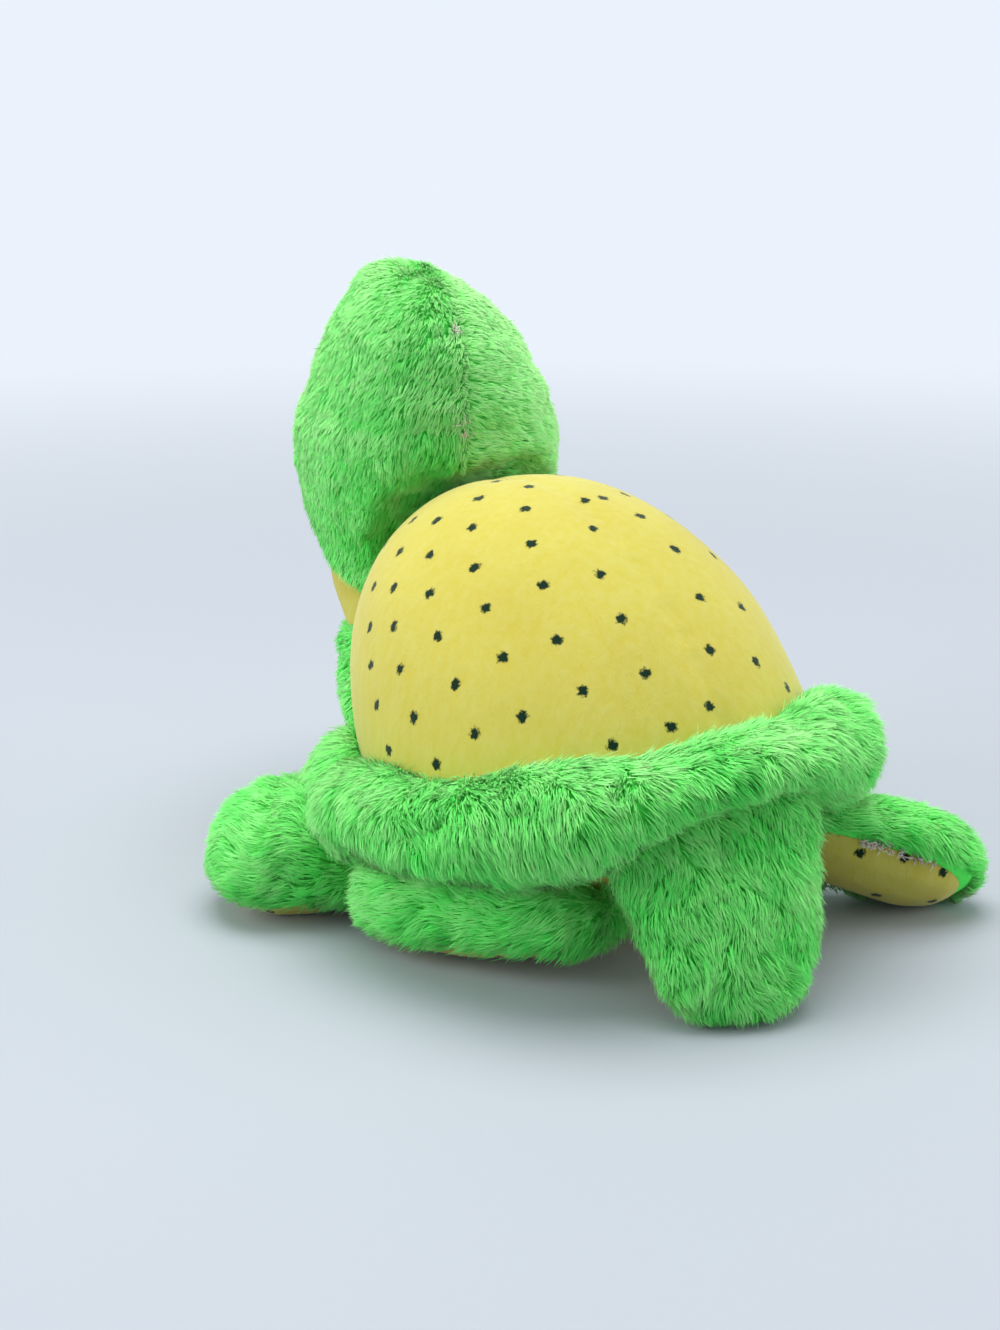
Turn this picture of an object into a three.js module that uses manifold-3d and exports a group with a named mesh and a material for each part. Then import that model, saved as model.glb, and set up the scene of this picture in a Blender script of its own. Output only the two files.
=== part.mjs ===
// A stuffed turtle: a spotted shell on a fat plush brim, a turned head, four flippers and a tail.
// Millimetres, +Z up. The turtle faces -Y, its left side is +X, and the table is at z = 0.
import * as THREE from 'three';
import { mergeVertices } from 'three/addons/utils/BufferGeometryUtils.js';
import Module from 'manifold-3d';

const wasm = await Module();
wasm.setup();

// Cloth and fit
const FABRIC_THICKNESS = 2.2;
const FIT_GAP = 0.3;
const TABLE_SQUASH = 0.8;

// Shell, belly and brim; the body is carried nose-down by BODY_PITCH degrees
const SHELL_HALF_WIDTH = 60.5;
const SHELL_HALF_LENGTH = 68;
const SHELL_HEIGHT = 85;
const SHELL_BULGE = 2.15;
const SHELL_BACK = 8;
const SHELL_LEAN = 24;
const SHELL_SEAM_SIDE = 2;
const BRIM_HEIGHT = 38;
const BRIM_OVERHANG = 13;
const BRIM_HALF_WIDTH = 15;
const BRIM_HALF_HEIGHT = 13.5;
const BRIM_BULGE = 2.2;
const BODY_PITCH = 11;
const BELLY_REST_HALF_WIDTH = 25;
const BELLY_REST_HALF_LENGTH = 33;
const BELLY_REST_FORWARD = 9;

// Neck: a broad stub that rises from the front of the shell to a round collar
const NECK_BASE_HEIGHT = 31;
const NECK_BASE_FORWARD = 62;
const NECK_BASE_HALF_WIDTH = 34;
const NECK_BASE_HALF_LENGTH = 22;
const NECK_TOP_HEIGHT = 63;
const NECK_TOP_RADIUS = 24;
const NOD_AXIS_FORWARD = 82;
const NOD_AXIS_HEIGHT = 40;
const NOD_FORWARD = 14;

// Head, turned towards the turtle's right about a vertical axis in the collar
const HEAD_AXIS_FORWARD = 77;
const HEAD_TOP_HEIGHT = 173;
const HEAD_HALF_WIDTH = 38.5;
const HEAD_HALF_LENGTH = 44;
const HEAD_REACH = 14;
const HEAD_LEAN = 9;
const HEAD_SEAM_SIDE = -4.5;
const HEAD_SHELL_GAP = 7;
const HEAD_BULGE = 2.15;
const HEAD_TURN = -20;
const HEAD_SWING = 15;
const CHIN_SEAM_RISE = 16;
const CHIN_SEAM_SLOPE = 20;

// Safety eyes, each with a shaft through the cloth and a washer behind it
const EYE_RADIUS = 5.5;
const EYE_DOME = 4.5;
const EYE_RIM = 1;
const EYE_SHAFT_RADIUS = 1.8;
const EYE_SHAFT_LENGTH = 9;
const WASHER_RADIUS = 6;
const WASHER_THICKNESS = 1.6;
const EYE_HEIGHT = 122;
const EYE_ANGLE = 48;

// Front flippers
const FLIPPER_ROOT_SIDE = 44;
const FLIPPER_ROOT_FORWARD = 36;
const FLIPPER_LENGTH = 45;
const FLIPPER_ROOT_REACH = 12;
const FLIPPER_HALF_WIDTH = 17;
const FLIPPER_HALF_THICKNESS = 15.5;
const FLIPPER_HEADING = 42;
const FLIPPER_SWING = 15;

// Hind legs: the left one is folded forward, the right one is splayed and rolled
const HIND_ROOT_SIDE = 30;
const HIND_ROOT_BACK = 39;
const HIND_LENGTH = 63;
const HIND_ROOT_REACH = 9;
const HIND_HALF_WIDTH = 16;
const HIND_HALF_THICKNESS = 13;
const HIND_LEFT_HEADING = -49;
const HIND_RIGHT_HEADING = 156;
const HIND_RIGHT_ROLL = -38;
const HIND_SWING = 40;
const HIND_BACKSWING = 5;

// Tail: a wide wedge that slopes from under the brim down to the table
const TAIL_ROOT_BACK = 56;
const TAIL_LENGTH = 47;
const TAIL_ROOT_REACH = 12;
const TAIL_HALF_WIDTH = 26;
const TAIL_HALF_THICKNESS = 11;
const TAIL_HEADING = 79;
const TAIL_SLOPE = 36;
const TAIL_SWING = 12;

// Facets
const BODY_SIDES = 28;
const BRIM_SIDES = 10;
const LIMB_SIDES = 12;
const HEAD_SIDES = 22;
const NECK_SIDES = 18;
const EYE_SIDES = 12;
const SWING_STEPS = 3;

// Each row: share of the way along the limb, share of its half width, share of its half thickness
const HIND_FORM_SHARES = [
  [0, 0, 0], [0.035, 0.46, 0.36], [0.12, 0.82, 0.6], [0.3, 0.96, 0.85],
  [0.56, 1, 1], [0.78, 0.95, 0.94], [0.91, 0.75, 0.74], [0.98, 0.4, 0.42], [1, 0, 0],
];
const FLIPPER_FORM_SHARES = [
  [0, 0, 0], [0.035, 0.4, 0.24], [0.12, 0.68, 0.4], [0.3, 0.84, 0.6],
  [0.55, 0.98, 0.95], [0.77, 0.97, 0.98], [0.91, 0.75, 0.76], [0.98, 0.38, 0.42], [1, 0, 0],
];
const TAIL_FORM_SHARES = [
  [0, 0, 0], [0.03, 0.62, 0.34], [0.12, 0.92, 0.64], [0.32, 1, 0.95],
  [0.6, 0.91, 1], [0.82, 0.76, 0.9], [0.94, 0.6, 0.66], [0.99, 0.36, 0.34], [1, 0, 0],
];
// Each row: share of the head's height, of its half width, of its half length, of its reach, of its lean
const HEAD_FORM_SHARES = [
  [0, 0.62, 0.55, 0, 0], [0.1, 0.7, 0.58, 1.1, -0.1], [0.22, 0.78, 0.73, 1.4, -0.33],
  [0.37, 0.93, 0.91, 1.2, -0.42], [0.53, 0.98, 1, 1, -0.33], [0.68, 0.83, 0.93, 0.65, -0.2],
  [0.81, 0.66, 0.79, 0.38, -0.02], [0.9, 0.47, 0.59, 0.22, 0.3], [0.95, 0.31, 0.4, 0.15, 0.6],
  [0.985, 0.17, 0.22, 0.1, 0.75], [1, 0, 0, 0.1, 0.8],
];
// Each row: share of the neck's height, share of its section there, share of the way to the collar
const NECK_FORM_SHARES = [
  [0, 0, 0], [0.06, 0.62, 0], [0.22, 0.9, 0.05], [0.48, 1, 0.35], [0.76, 1, 0.75], [1, 1, 1],
];
// Each row: share of the belly's depth, share of the way from the rest oval out to the shell's edge
const BELLY_FORM_SHARES = [[1, 0], [0.86, 0.26], [0.6, 0.56], [0.28, 0.83], [0, 1]];
const BELLY_EDGE_SHARE = 0.94;
const SHELL_RING_ANGLE_SHARES = [0, 0.17, 0.34, 0.52, 0.69, 0.84, 0.94, 1];
const EYE_DOME_ANGLE_SHARES = [0.35, 0.65, 1];
const LIMB_BULGE = 2.3;
// How far below a limb's middle its sole starts, as a share of its half thickness
const SOLE_DROP_SHARE = 0.45;
const ELLIPSE = 2;

const degrees = THREE.MathUtils.degToRad;
const lerp = THREE.MathUtils.lerp;
const UP = new THREE.Vector3(0, 0, 1);

// One coordinate of an oval: bulge 2 makes it an ellipse, more makes it squarer
function bulged(value, bulge) {
  return Math.sign(value) * Math.abs(value) ** (2 / bulge);
}

// A flat oval ring of points, counter-clockwise seen from above
function ovalRing(sides, halfX, halfY, bulge) {
  const ring = [];
  for (let side = 0; side < sides; side++) {
    const angle = (2 * Math.PI * side) / sides;
    ring.push(new THREE.Vector3(
      halfX * bulged(Math.cos(angle), bulge), halfY * bulged(Math.sin(angle), bulge), 0));
  }
  return ring;
}

// Turns a list of points and faces into a geometry
function geometryFrom(points, faces) {
  const geometry = new THREE.BufferGeometry();
  const places = points.flatMap((point) => [point.x, point.y, point.z]);
  geometry.setAttribute('position', new THREE.Float32BufferAttribute(places, 3));
  geometry.setIndex(faces);
  return geometry;
}

// Closes a stack of rings into one skin; an end ring of one point is a pole, any other is capped
function stackedSkin(rings) {
  const points = [];
  const faces = [];
  const starts = [];
  for (const ring of rings) {
    starts.push(points.length);
    points.push(...ring);
  }
  for (let row = 0; row + 1 < rings.length; row++) {
    const low = rings[row];
    const high = rings[row + 1];
    const sides = Math.max(low.length, high.length);
    for (let side = 0; side < sides; side++) {
      const next = (side + 1) % sides;
      const lowHere = starts[row] + (low.length > 1 ? side : 0);
      const lowNext = starts[row] + (low.length > 1 ? next : 0);
      const highHere = starts[row + 1] + (high.length > 1 ? side : 0);
      const highNext = starts[row + 1] + (high.length > 1 ? next : 0);
      if (low.length > 1) faces.push(lowHere, lowNext, highNext);
      if (high.length > 1) faces.push(lowHere, highNext, highHere);
    }
  }
  capRing(points, faces, rings[0], starts[0], true);
  capRing(points, faces, rings.at(-1), starts.at(-1), false);
  return geometryFrom(points, faces);
}

// Closes one open ring with a fan around its middle
function capRing(points, faces, ring, start, downwards) {
  if (ring.length === 1) return;
  const middle = new THREE.Vector3();
  for (const point of ring) middle.add(point);
  points.push(middle.divideScalar(ring.length));
  for (let side = 0; side < ring.length; side++) {
    const next = (side + 1) % ring.length;
    const pair = downwards ? [start + next, start + side] : [start + side, start + next];
    faces.push(...pair, points.length - 1);
  }
}

// Joins a loop of rings, the last to the first, into a ring-shaped skin
function loopedSkin(rings) {
  const points = rings.flat();
  const faces = [];
  const sides = rings[0].length;
  for (let row = 0; row < rings.length; row++) {
    const here = row * sides;
    const there = ((row + 1) % rings.length) * sides;
    for (let side = 0; side < sides; side++) {
      const next = (side + 1) % sides;
      faces.push(here + side, there + side, there + next, here + side, there + next, here + next);
    }
  }
  return geometryFrom(points, faces);
}

// Turns a closed geometry into a solid that can be cut and joined
function solidOf(geometry, placement) {
  const bare = geometry.clone();
  bare.deleteAttribute('normal');
  bare.deleteAttribute('uv');
  if (placement) bare.applyMatrix4(placement);
  const merged = mergeVertices(bare);
  return new wasm.Manifold(new wasm.Mesh({
    numProp: 3,
    vertProperties: new Float32Array(merged.attributes.position.array),
    triVerts: new Uint32Array(merged.index.array),
  }));
}

// Turns a solid into a named mesh
function meshOf(name, solid, material) {
  const { vertProperties, triVerts } = solid.getMesh();
  const geometry = new THREE.BufferGeometry();
  geometry.setAttribute('position', new THREE.Float32BufferAttribute(vertProperties, 3));
  geometry.setIndex(Array.from(triVerts));
  geometry.computeVertexNormals();
  const mesh = new THREE.Mesh(geometry, material.clone());
  mesh.name = name;
  return mesh;
}

// Parts a solid along a plane, leaving the seam gap between the two halves
function partedBy(solid, normal, offset) {
  const away = normal.clone().negate();
  const above = solid.trimByPlane(normal.toArray(), offset + FIT_GAP / 2);
  const below = solid.trimByPlane(away.toArray(), -offset + FIT_GAP / 2);
  return { above, below };
}

const plush = new THREE.MeshStandardMaterial({ color: 0x4fc447, roughness: 0.95, metalness: 0 });
const velour = new THREE.MeshStandardMaterial({ color: 0xe3d46a, roughness: 0.9, metalness: 0 });
const fibre = new THREE.MeshStandardMaterial({ color: 0xf4f3ee, roughness: 1, metalness: 0 });
const eyeBlack = new THREE.MeshStandardMaterial({ color: 0x0b0b0c, roughness: 0.15, metalness: 0 });
const washerWhite = new THREE.MeshStandardMaterial({ color: 0xdedcd4, roughness: 0.6, metalness: 0 });

// Body

const brimMiddle = new THREE.Vector3(0, 0, BRIM_HEIGHT);

// Tips a point of the level body nose-down; share 0 leaves it level
function pitched(point, share) {
  return point.clone().sub(brimMiddle)
    .applyAxisAngle(new THREE.Vector3(1, 0, 0), degrees(BODY_PITCH) * share)
    .add(brimMiddle);
}

// The stuffed body: a belly that is flat on the table, swelling to the brim and up into the dome,
// which leans forward over the neck
function bodySkin(outset) {
  const rings = [];
  for (const [depthShare, outShare] of BELLY_FORM_SHARES) {
    const halfWidth = lerp(BELLY_REST_HALF_WIDTH, SHELL_HALF_WIDTH * BELLY_EDGE_SHARE, outShare);
    const halfLength = lerp(BELLY_REST_HALF_LENGTH, SHELL_HALF_LENGTH * BELLY_EDGE_SHARE, outShare);
    const height = BRIM_HEIGHT * (1 - depthShare) - outset * depthShare;
    rings.push(ovalRing(BODY_SIDES, halfWidth + outset, halfLength + outset, ELLIPSE).map((point) => {
      point.y += lerp(SHELL_BACK, -BELLY_REST_FORWARD, depthShare);
      point.z = height;
      return pitched(point, 1 - depthShare);
    }));
  }
  for (const angleShare of SHELL_RING_ANGLE_SHARES) {
    const angle = (Math.PI / 2) * angleShare;
    const spread = bulged(Math.cos(angle), SHELL_BULGE);
    const rise = bulged(Math.sin(angle), SHELL_BULGE);
    const height = BRIM_HEIGHT + BRIM_HALF_HEIGHT / 2 + (SHELL_HEIGHT - BRIM_HALF_HEIGHT / 2 + outset) * rise;
    const halfWidth = (SHELL_HALF_WIDTH + outset) * spread;
    const halfLength = (SHELL_HALF_LENGTH + outset) * spread;
    const ring = angleShare === 1 ? [new THREE.Vector3()]
      : ovalRing(BODY_SIDES, halfWidth, halfLength, ELLIPSE);
    const middle = new THREE.Vector3(0, SHELL_BACK - SHELL_LEAN * rise, height);
    rings.push(ring.map((point) => pitched(point.add(middle), 1)));
  }
  return stackedSkin(rings);
}

// The fat roll round the shell's edge
function brimSkin(outset) {
  const halfWidth = SHELL_HALF_WIDTH + BRIM_OVERHANG - BRIM_HALF_WIDTH;
  const halfLength = SHELL_HALF_LENGTH + BRIM_OVERHANG - BRIM_HALF_WIDTH;
  const rings = [];
  for (let side = 0; side < BODY_SIDES; side++) {
    const angle = (2 * Math.PI * side) / BODY_SIDES;
    const cos = Math.cos(angle);
    const sin = Math.sin(angle);
    const outward = new THREE.Vector3(halfLength * cos, halfWidth * sin, 0).normalize();
    const middle = new THREE.Vector3(halfWidth * cos, SHELL_BACK + halfLength * sin, BRIM_HEIGHT);
    const section = ovalRing(BRIM_SIDES, BRIM_HALF_WIDTH + outset, BRIM_HALF_HEIGHT + outset, BRIM_BULGE);
    rings.push(section.map(({ x, y }) => pitched(
      middle.clone().addScaledVector(outward, x).addScaledVector(UP, y), 1)));
  }
  return loopedSkin(rings);
}

// The outside of shell, belly and brim as a cutter, grown by the clearance, seen by a piece that
// stands at each of the given placements
function bodyCutter(clearance, placements) {
  const body = bodySkin(clearance);
  const brim = brimSkin(clearance);
  let cutter = null;
  for (const placement of placements) {
    const inverse = placement.clone().invert();
    const copy = solidOf(body, inverse).add(solidOf(brim, inverse));
    cutter = cutter ? cutter.add(copy) : copy;
  }
  return cutter;
}

const turtle = new THREE.Group();

function addBody() {
  const bodyShell = solidOf(bodySkin(0)).subtract(solidOf(bodySkin(-FABRIC_THICKNESS)));
  const brimPlane = pitched(brimMiddle.clone().add(UP), 1).sub(brimMiddle);
  const { above: dome, below: belly } = partedBy(bodyShell, brimPlane, brimPlane.dot(brimMiddle));
  const { above: domeLeft, below: domeRight } = partedBy(dome, new THREE.Vector3(1, 0, 0), SHELL_SEAM_SIDE);
  const bodyClear = solidOf(bodySkin(FIT_GAP));
  const brimShell = solidOf(brimSkin(0)).subtract(solidOf(brimSkin(-FABRIC_THICKNESS)));
  const brimFill = solidOf(brimSkin(-FABRIC_THICKNESS - FIT_GAP));
  turtle.add(
    meshOf('shell_panel_left', domeLeft, velour),
    meshOf('shell_panel_right', domeRight, velour),
    meshOf('belly_panel', belly, velour),
    meshOf('body_stuffing', solidOf(bodySkin(-FABRIC_THICKNESS - FIT_GAP)), fibre),
    meshOf('brim_cover', brimShell.subtract(bodyClear), plush),
    meshOf('brim_stuffing', brimFill.subtract(bodyClear), fibre),
  );
}

// Limbs

// Where a limb stands: its hinge over a spot of the table, its heading, slope and roll
function limbPlacement(root, heading, slope, roll) {
  const turned = new THREE.Euler(degrees(roll), degrees(slope), degrees(heading), 'ZYX');
  return new THREE.Matrix4().makeRotationFromEuler(turned).setPosition(root);
}

// A limb's skin in its own frame, +X towards its tip: it swells and tapers, and is flat where it
// would sink into the table
function limbSkin(limb, inset) {
  const { shares, length, rootReach, halfWidth, halfThickness, placement } = limb;
  const inverse = placement.clone().invert();
  const rings = shares.map(([alongShare, widthShare, thicknessShare]) => {
    const along = lerp(-rootReach + inset, length - inset, alongShare);
    if (widthShare === 0) return [new THREE.Vector3(along, 0, 0)];
    const ring = ovalRing(LIMB_SIDES, (halfWidth - inset) * widthShare,
      (halfThickness - inset) * thicknessShare, LIMB_BULGE);
    return ring.map(({ x, y }) => new THREE.Vector3(along, x, y));
  });
  for (const point of rings.flat()) {
    point.applyMatrix4(placement);
    point.z = Math.max(point.z, inset);
    point.applyMatrix4(inverse);
  }
  return stackedSkin(rings);
}

// Lowers a limb until it rests on the table, pressed in by the squash
function restOnTable(limb) {
  const reach = new THREE.Box3();
  for (const [alongShare, widthShare, thicknessShare] of limb.shares) {
    const along = lerp(-limb.rootReach, limb.length, alongShare);
    const ring = ovalRing(LIMB_SIDES, limb.halfWidth * widthShare,
      limb.halfThickness * thicknessShare, LIMB_BULGE);
    for (const { x, y } of ring) {
      reach.expandByPoint(new THREE.Vector3(along, x, y).applyMatrix4(limb.placement));
    }
  }
  const root = new THREE.Vector3().setFromMatrixPosition(limb.placement);
  limb.placement.setPosition(root.addScaledVector(UP, -reach.min.z - TABLE_SQUASH));
}

// The limb's placements as it swings about the vertical line through its hinge
function swungPlacements(limb) {
  const root = new THREE.Vector3().setFromMatrixPosition(limb.placement);
  const placements = [];
  for (let step = 0; step <= SWING_STEPS; step++) {
    const swing = degrees(lerp(limb.swing[0], limb.swing[1], step / SWING_STEPS));
    placements.push(new THREE.Matrix4().makeTranslation(root)
      .multiply(new THREE.Matrix4().makeRotationZ(swing))
      .multiply(new THREE.Matrix4().makeTranslation(root.clone().negate()))
      .multiply(limb.placement));
  }
  return [...placements, limb.placement];
}

// A plush upper, a velour sole and the stuffing between them
function addLimb(name, limb) {
  restOnTable(limb);
  const placements = swungPlacements(limb);
  const outside = solidOf(limbSkin(limb, 0)).subtract(bodyCutter(FIT_GAP, placements));
  const innerClearance = FABRIC_THICKNESS + FIT_GAP;
  const inside = solidOf(limbSkin(limb, FABRIC_THICKNESS)).subtract(bodyCutter(innerClearance, placements));
  const fill = solidOf(limbSkin(limb, FABRIC_THICKNESS + FIT_GAP))
    .subtract(bodyCutter(innerClearance + FIT_GAP, placements));
  const { above, below } = partedBy(outside.subtract(inside), UP, -limb.halfThickness * SOLE_DROP_SHARE);
  const group = new THREE.Group();
  group.applyMatrix4(limb.placement);
  group.add(
    meshOf(`${name}_cover`, above, plush),
    meshOf(`${name}_sole`, below, velour),
    meshOf(`${name}_stuffing`, fill, fibre),
  );
  turtle.add(group);
}

function addLimbs() {
  const flipper = {
    shares: FLIPPER_FORM_SHARES, length: FLIPPER_LENGTH, rootReach: FLIPPER_ROOT_REACH,
    halfWidth: FLIPPER_HALF_WIDTH, halfThickness: FLIPPER_HALF_THICKNESS,
    swing: [-FLIPPER_SWING, FLIPPER_SWING],
  };
  const hindLeg = {
    shares: HIND_FORM_SHARES, length: HIND_LENGTH, rootReach: HIND_ROOT_REACH,
    halfWidth: HIND_HALF_WIDTH, halfThickness: HIND_HALF_THICKNESS,
  };
  const tail = {
    shares: TAIL_FORM_SHARES, length: TAIL_LENGTH, rootReach: TAIL_ROOT_REACH,
    halfWidth: TAIL_HALF_WIDTH, halfThickness: TAIL_HALF_THICKNESS,
    swing: [-TAIL_SWING, TAIL_SWING],
  };
  const flipperLeftRoot = new THREE.Vector3(FLIPPER_ROOT_SIDE, -FLIPPER_ROOT_FORWARD, 0);
  const flipperRightRoot = new THREE.Vector3(-FLIPPER_ROOT_SIDE, -FLIPPER_ROOT_FORWARD, 0);
  const hindLeftRoot = new THREE.Vector3(HIND_ROOT_SIDE, HIND_ROOT_BACK, 0);
  const hindRightRoot = new THREE.Vector3(-HIND_ROOT_SIDE, HIND_ROOT_BACK, 0);
  const tailRoot = new THREE.Vector3(0, TAIL_ROOT_BACK, 0);
  addLimb('front_left_flipper', {
    ...flipper, placement: limbPlacement(flipperLeftRoot, -FLIPPER_HEADING, 0, 0),
  });
  addLimb('front_right_flipper', {
    ...flipper, placement: limbPlacement(flipperRightRoot, 180 + FLIPPER_HEADING, 0, 0),
  });
  addLimb('hind_left_leg', {
    ...hindLeg, placement: limbPlacement(hindLeftRoot, HIND_LEFT_HEADING, 0, 0),
    swing: [-HIND_BACKSWING, HIND_SWING],
  });
  addLimb('hind_right_leg', {
    ...hindLeg, placement: limbPlacement(hindRightRoot, HIND_RIGHT_HEADING, 0, HIND_RIGHT_ROLL),
    swing: [-HIND_BACKSWING, HIND_SWING],
  });
  addLimb('tail', {
    ...tail, placement: limbPlacement(tailRoot, TAIL_HEADING, TAIL_SLOPE, 0),
  });
}

// Neck

function neckSkin(inset, clearance) {
  const rings = NECK_FORM_SHARES.map(([heightShare, sectionShare, collarShare]) => {
    const base = NECK_BASE_HEIGHT + inset;
    const height = lerp(base, NECK_TOP_HEIGHT, heightShare);
    const forward = lerp(NECK_BASE_FORWARD, HEAD_AXIS_FORWARD, collarShare);
    if (sectionShare === 0) return [new THREE.Vector3(0, -forward, height)];
    const halfWidth = lerp(NECK_BASE_HALF_WIDTH, NECK_TOP_RADIUS, collarShare) - inset;
    const halfLength = lerp(NECK_BASE_HALF_LENGTH, NECK_TOP_RADIUS, collarShare) - inset;
    return ovalRing(NECK_SIDES, halfWidth * sectionShare, halfLength * sectionShare, ELLIPSE)
      .map((point) => point.add(new THREE.Vector3(0, -forward, height)));
  });
  if (clearance > 0) rings.push(rings.at(-1).map((point) => point.clone().addScaledVector(UP, clearance)));
  return stackedSkin(rings);
}

// The neck's placements as it nods forward about the front of its root seam
function noddedPlacements() {
  const hinge = new THREE.Vector3(0, -NOD_AXIS_FORWARD, NOD_AXIS_HEIGHT);
  const placements = [];
  for (let step = 0; step <= SWING_STEPS; step++) {
    placements.push(new THREE.Matrix4().makeTranslation(hinge)
      .multiply(new THREE.Matrix4().makeRotationX(degrees(NOD_FORWARD * step) / SWING_STEPS))
      .multiply(new THREE.Matrix4().makeTranslation(hinge.clone().negate())));
  }
  return placements;
}

function addNeck() {
  const placements = noddedPlacements();
  const innerClearance = FABRIC_THICKNESS + FIT_GAP;
  const outside = solidOf(neckSkin(0, 0)).subtract(bodyCutter(FIT_GAP, placements));
  const inside = solidOf(neckSkin(FABRIC_THICKNESS, FIT_GAP))
    .subtract(bodyCutter(innerClearance, placements));
  const fill = solidOf(neckSkin(FABRIC_THICKNESS + FIT_GAP, 0))
    .subtract(bodyCutter(innerClearance + FIT_GAP, placements));
  turtle.add(
    meshOf('neck_cover', outside.subtract(inside), plush),
    meshOf('neck_stuffing', fill, fibre),
  );
}

// Head

const headBottom = NECK_TOP_HEIGHT + FIT_GAP;

// The row of the head's table at a height, worked out between the two rows next to it
function headShares(height) {
  const heightShare = (height - headBottom) / (HEAD_TOP_HEIGHT - headBottom);
  const row = Math.max(1, HEAD_FORM_SHARES.findIndex((shares) => shares[0] >= heightShare));
  const low = HEAD_FORM_SHARES[row - 1];
  const high = HEAD_FORM_SHARES[row];
  const mix = (heightShare - low[0]) / (high[0] - low[0]);
  return low.map((share, index) => lerp(share, high[index], mix));
}

// The middle of the head's section at a height, in the head's own frame over the turn axis
function headMiddle(height) {
  const [, , , reachShare, leanShare] = headShares(height);
  return new THREE.Vector3(HEAD_LEAN * leanShare, -HEAD_REACH * reachShare, height);
}

function headSkin(inset) {
  const rings = HEAD_FORM_SHARES.map(([heightShare, widthShare, lengthShare]) => {
    const middle = headMiddle(lerp(headBottom + inset, HEAD_TOP_HEIGHT - inset, heightShare));
    if (widthShare === 0) return [middle];
    const bulge = heightShare === 0 ? ELLIPSE : HEAD_BULGE;
    return ovalRing(HEAD_SIDES, (HEAD_HALF_WIDTH - inset) * widthShare,
      (HEAD_HALF_LENGTH - inset) * lengthShare, bulge).map((point) => point.add(middle));
  });
  return stackedSkin(rings);
}

// The head's placements as it turns both ways about the collar
function turnedPlacements(placement) {
  const placements = [placement];
  for (let step = 0; step <= SWING_STEPS; step++) {
    const swing = degrees(lerp(-HEAD_SWING, HEAD_SWING, step / SWING_STEPS));
    placements.push(placement.clone().multiply(new THREE.Matrix4().makeRotationZ(swing)));
  }
  return placements;
}

// A point of the head's surface at a height, at an angle from straight ahead towards one side
function headPoint(height, angle, side) {
  const [, widthShare, lengthShare] = headShares(height);
  const outX = side * HEAD_HALF_WIDTH * widthShare * bulged(Math.sin(angle), HEAD_BULGE);
  const outY = -HEAD_HALF_LENGTH * lengthShare * bulged(Math.cos(angle), HEAD_BULGE);
  return headMiddle(height).add(new THREE.Vector3(outX, outY, 0));
}

// Where an eye sits on the head: its seat on the cloth, and a frame whose +Z points out of the head
function eyePlacement(side) {
  const angle = degrees(EYE_ANGLE);
  const spread = EYE_RADIUS / HEAD_HALF_WIDTH;
  const seat = headPoint(EYE_HEIGHT, angle, side);
  const across = headPoint(EYE_HEIGHT, angle + spread, side).sub(headPoint(EYE_HEIGHT, angle - spread, side));
  const upward = headPoint(EYE_HEIGHT + EYE_RADIUS, angle, side)
    .sub(headPoint(EYE_HEIGHT - EYE_RADIUS, angle, side));
  const outward = across.cross(upward).multiplyScalar(side).normalize();
  const turned = new THREE.Quaternion().setFromUnitVectors(UP, outward);
  const place = seat.addScaledVector(outward, FIT_GAP);
  return new THREE.Matrix4().compose(place, turned, new THREE.Vector3(1, 1, 1));
}

// A profile spun round the eye's axis; each row is a radius and a height
function spun(profile) {
  const points = profile.map(([radius, height]) => new THREE.Vector2(radius, height));
  return new THREE.LatheGeometry(points, EYE_SIDES).rotateX(Math.PI / 2);
}

function eyeForm() {
  const profile = [
    [0, -EYE_SHAFT_LENGTH], [EYE_SHAFT_RADIUS, -EYE_SHAFT_LENGTH], [EYE_SHAFT_RADIUS, 0], [EYE_RADIUS, 0],
    [EYE_RADIUS, EYE_RIM],
  ];
  for (const share of EYE_DOME_ANGLE_SHARES) {
    const angle = (Math.PI / 2) * share;
    const radius = share === 1 ? 0 : EYE_RADIUS * Math.cos(angle);
    profile.push([radius, EYE_RIM + (EYE_DOME - EYE_RIM) * Math.sin(angle)]);
  }
  return spun(profile);
}

// How far behind the eye the washer grips the cloth, at its rim, where the cloth curves away
const washerTop = -FABRIC_THICKNESS - FIT_GAP * 2 - WASHER_RADIUS ** 2 / (2 * HEAD_HALF_WIDTH);

function washerForm() {
  const bore = EYE_SHAFT_RADIUS + FIT_GAP;
  const bottom = washerTop - WASHER_THICKNESS;
  return spun([
    [bore, bottom], [WASHER_RADIUS, bottom], [WASHER_RADIUS, washerTop], [bore, washerTop], [bore, bottom],
  ]);
}

// A round plug along the eye's axis, between two depths under the cloth
function boreForm(radius, deep, shallow) {
  return spun([[0, -deep], [radius, -deep], [radius, -shallow], [0, -shallow]]);
}

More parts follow.
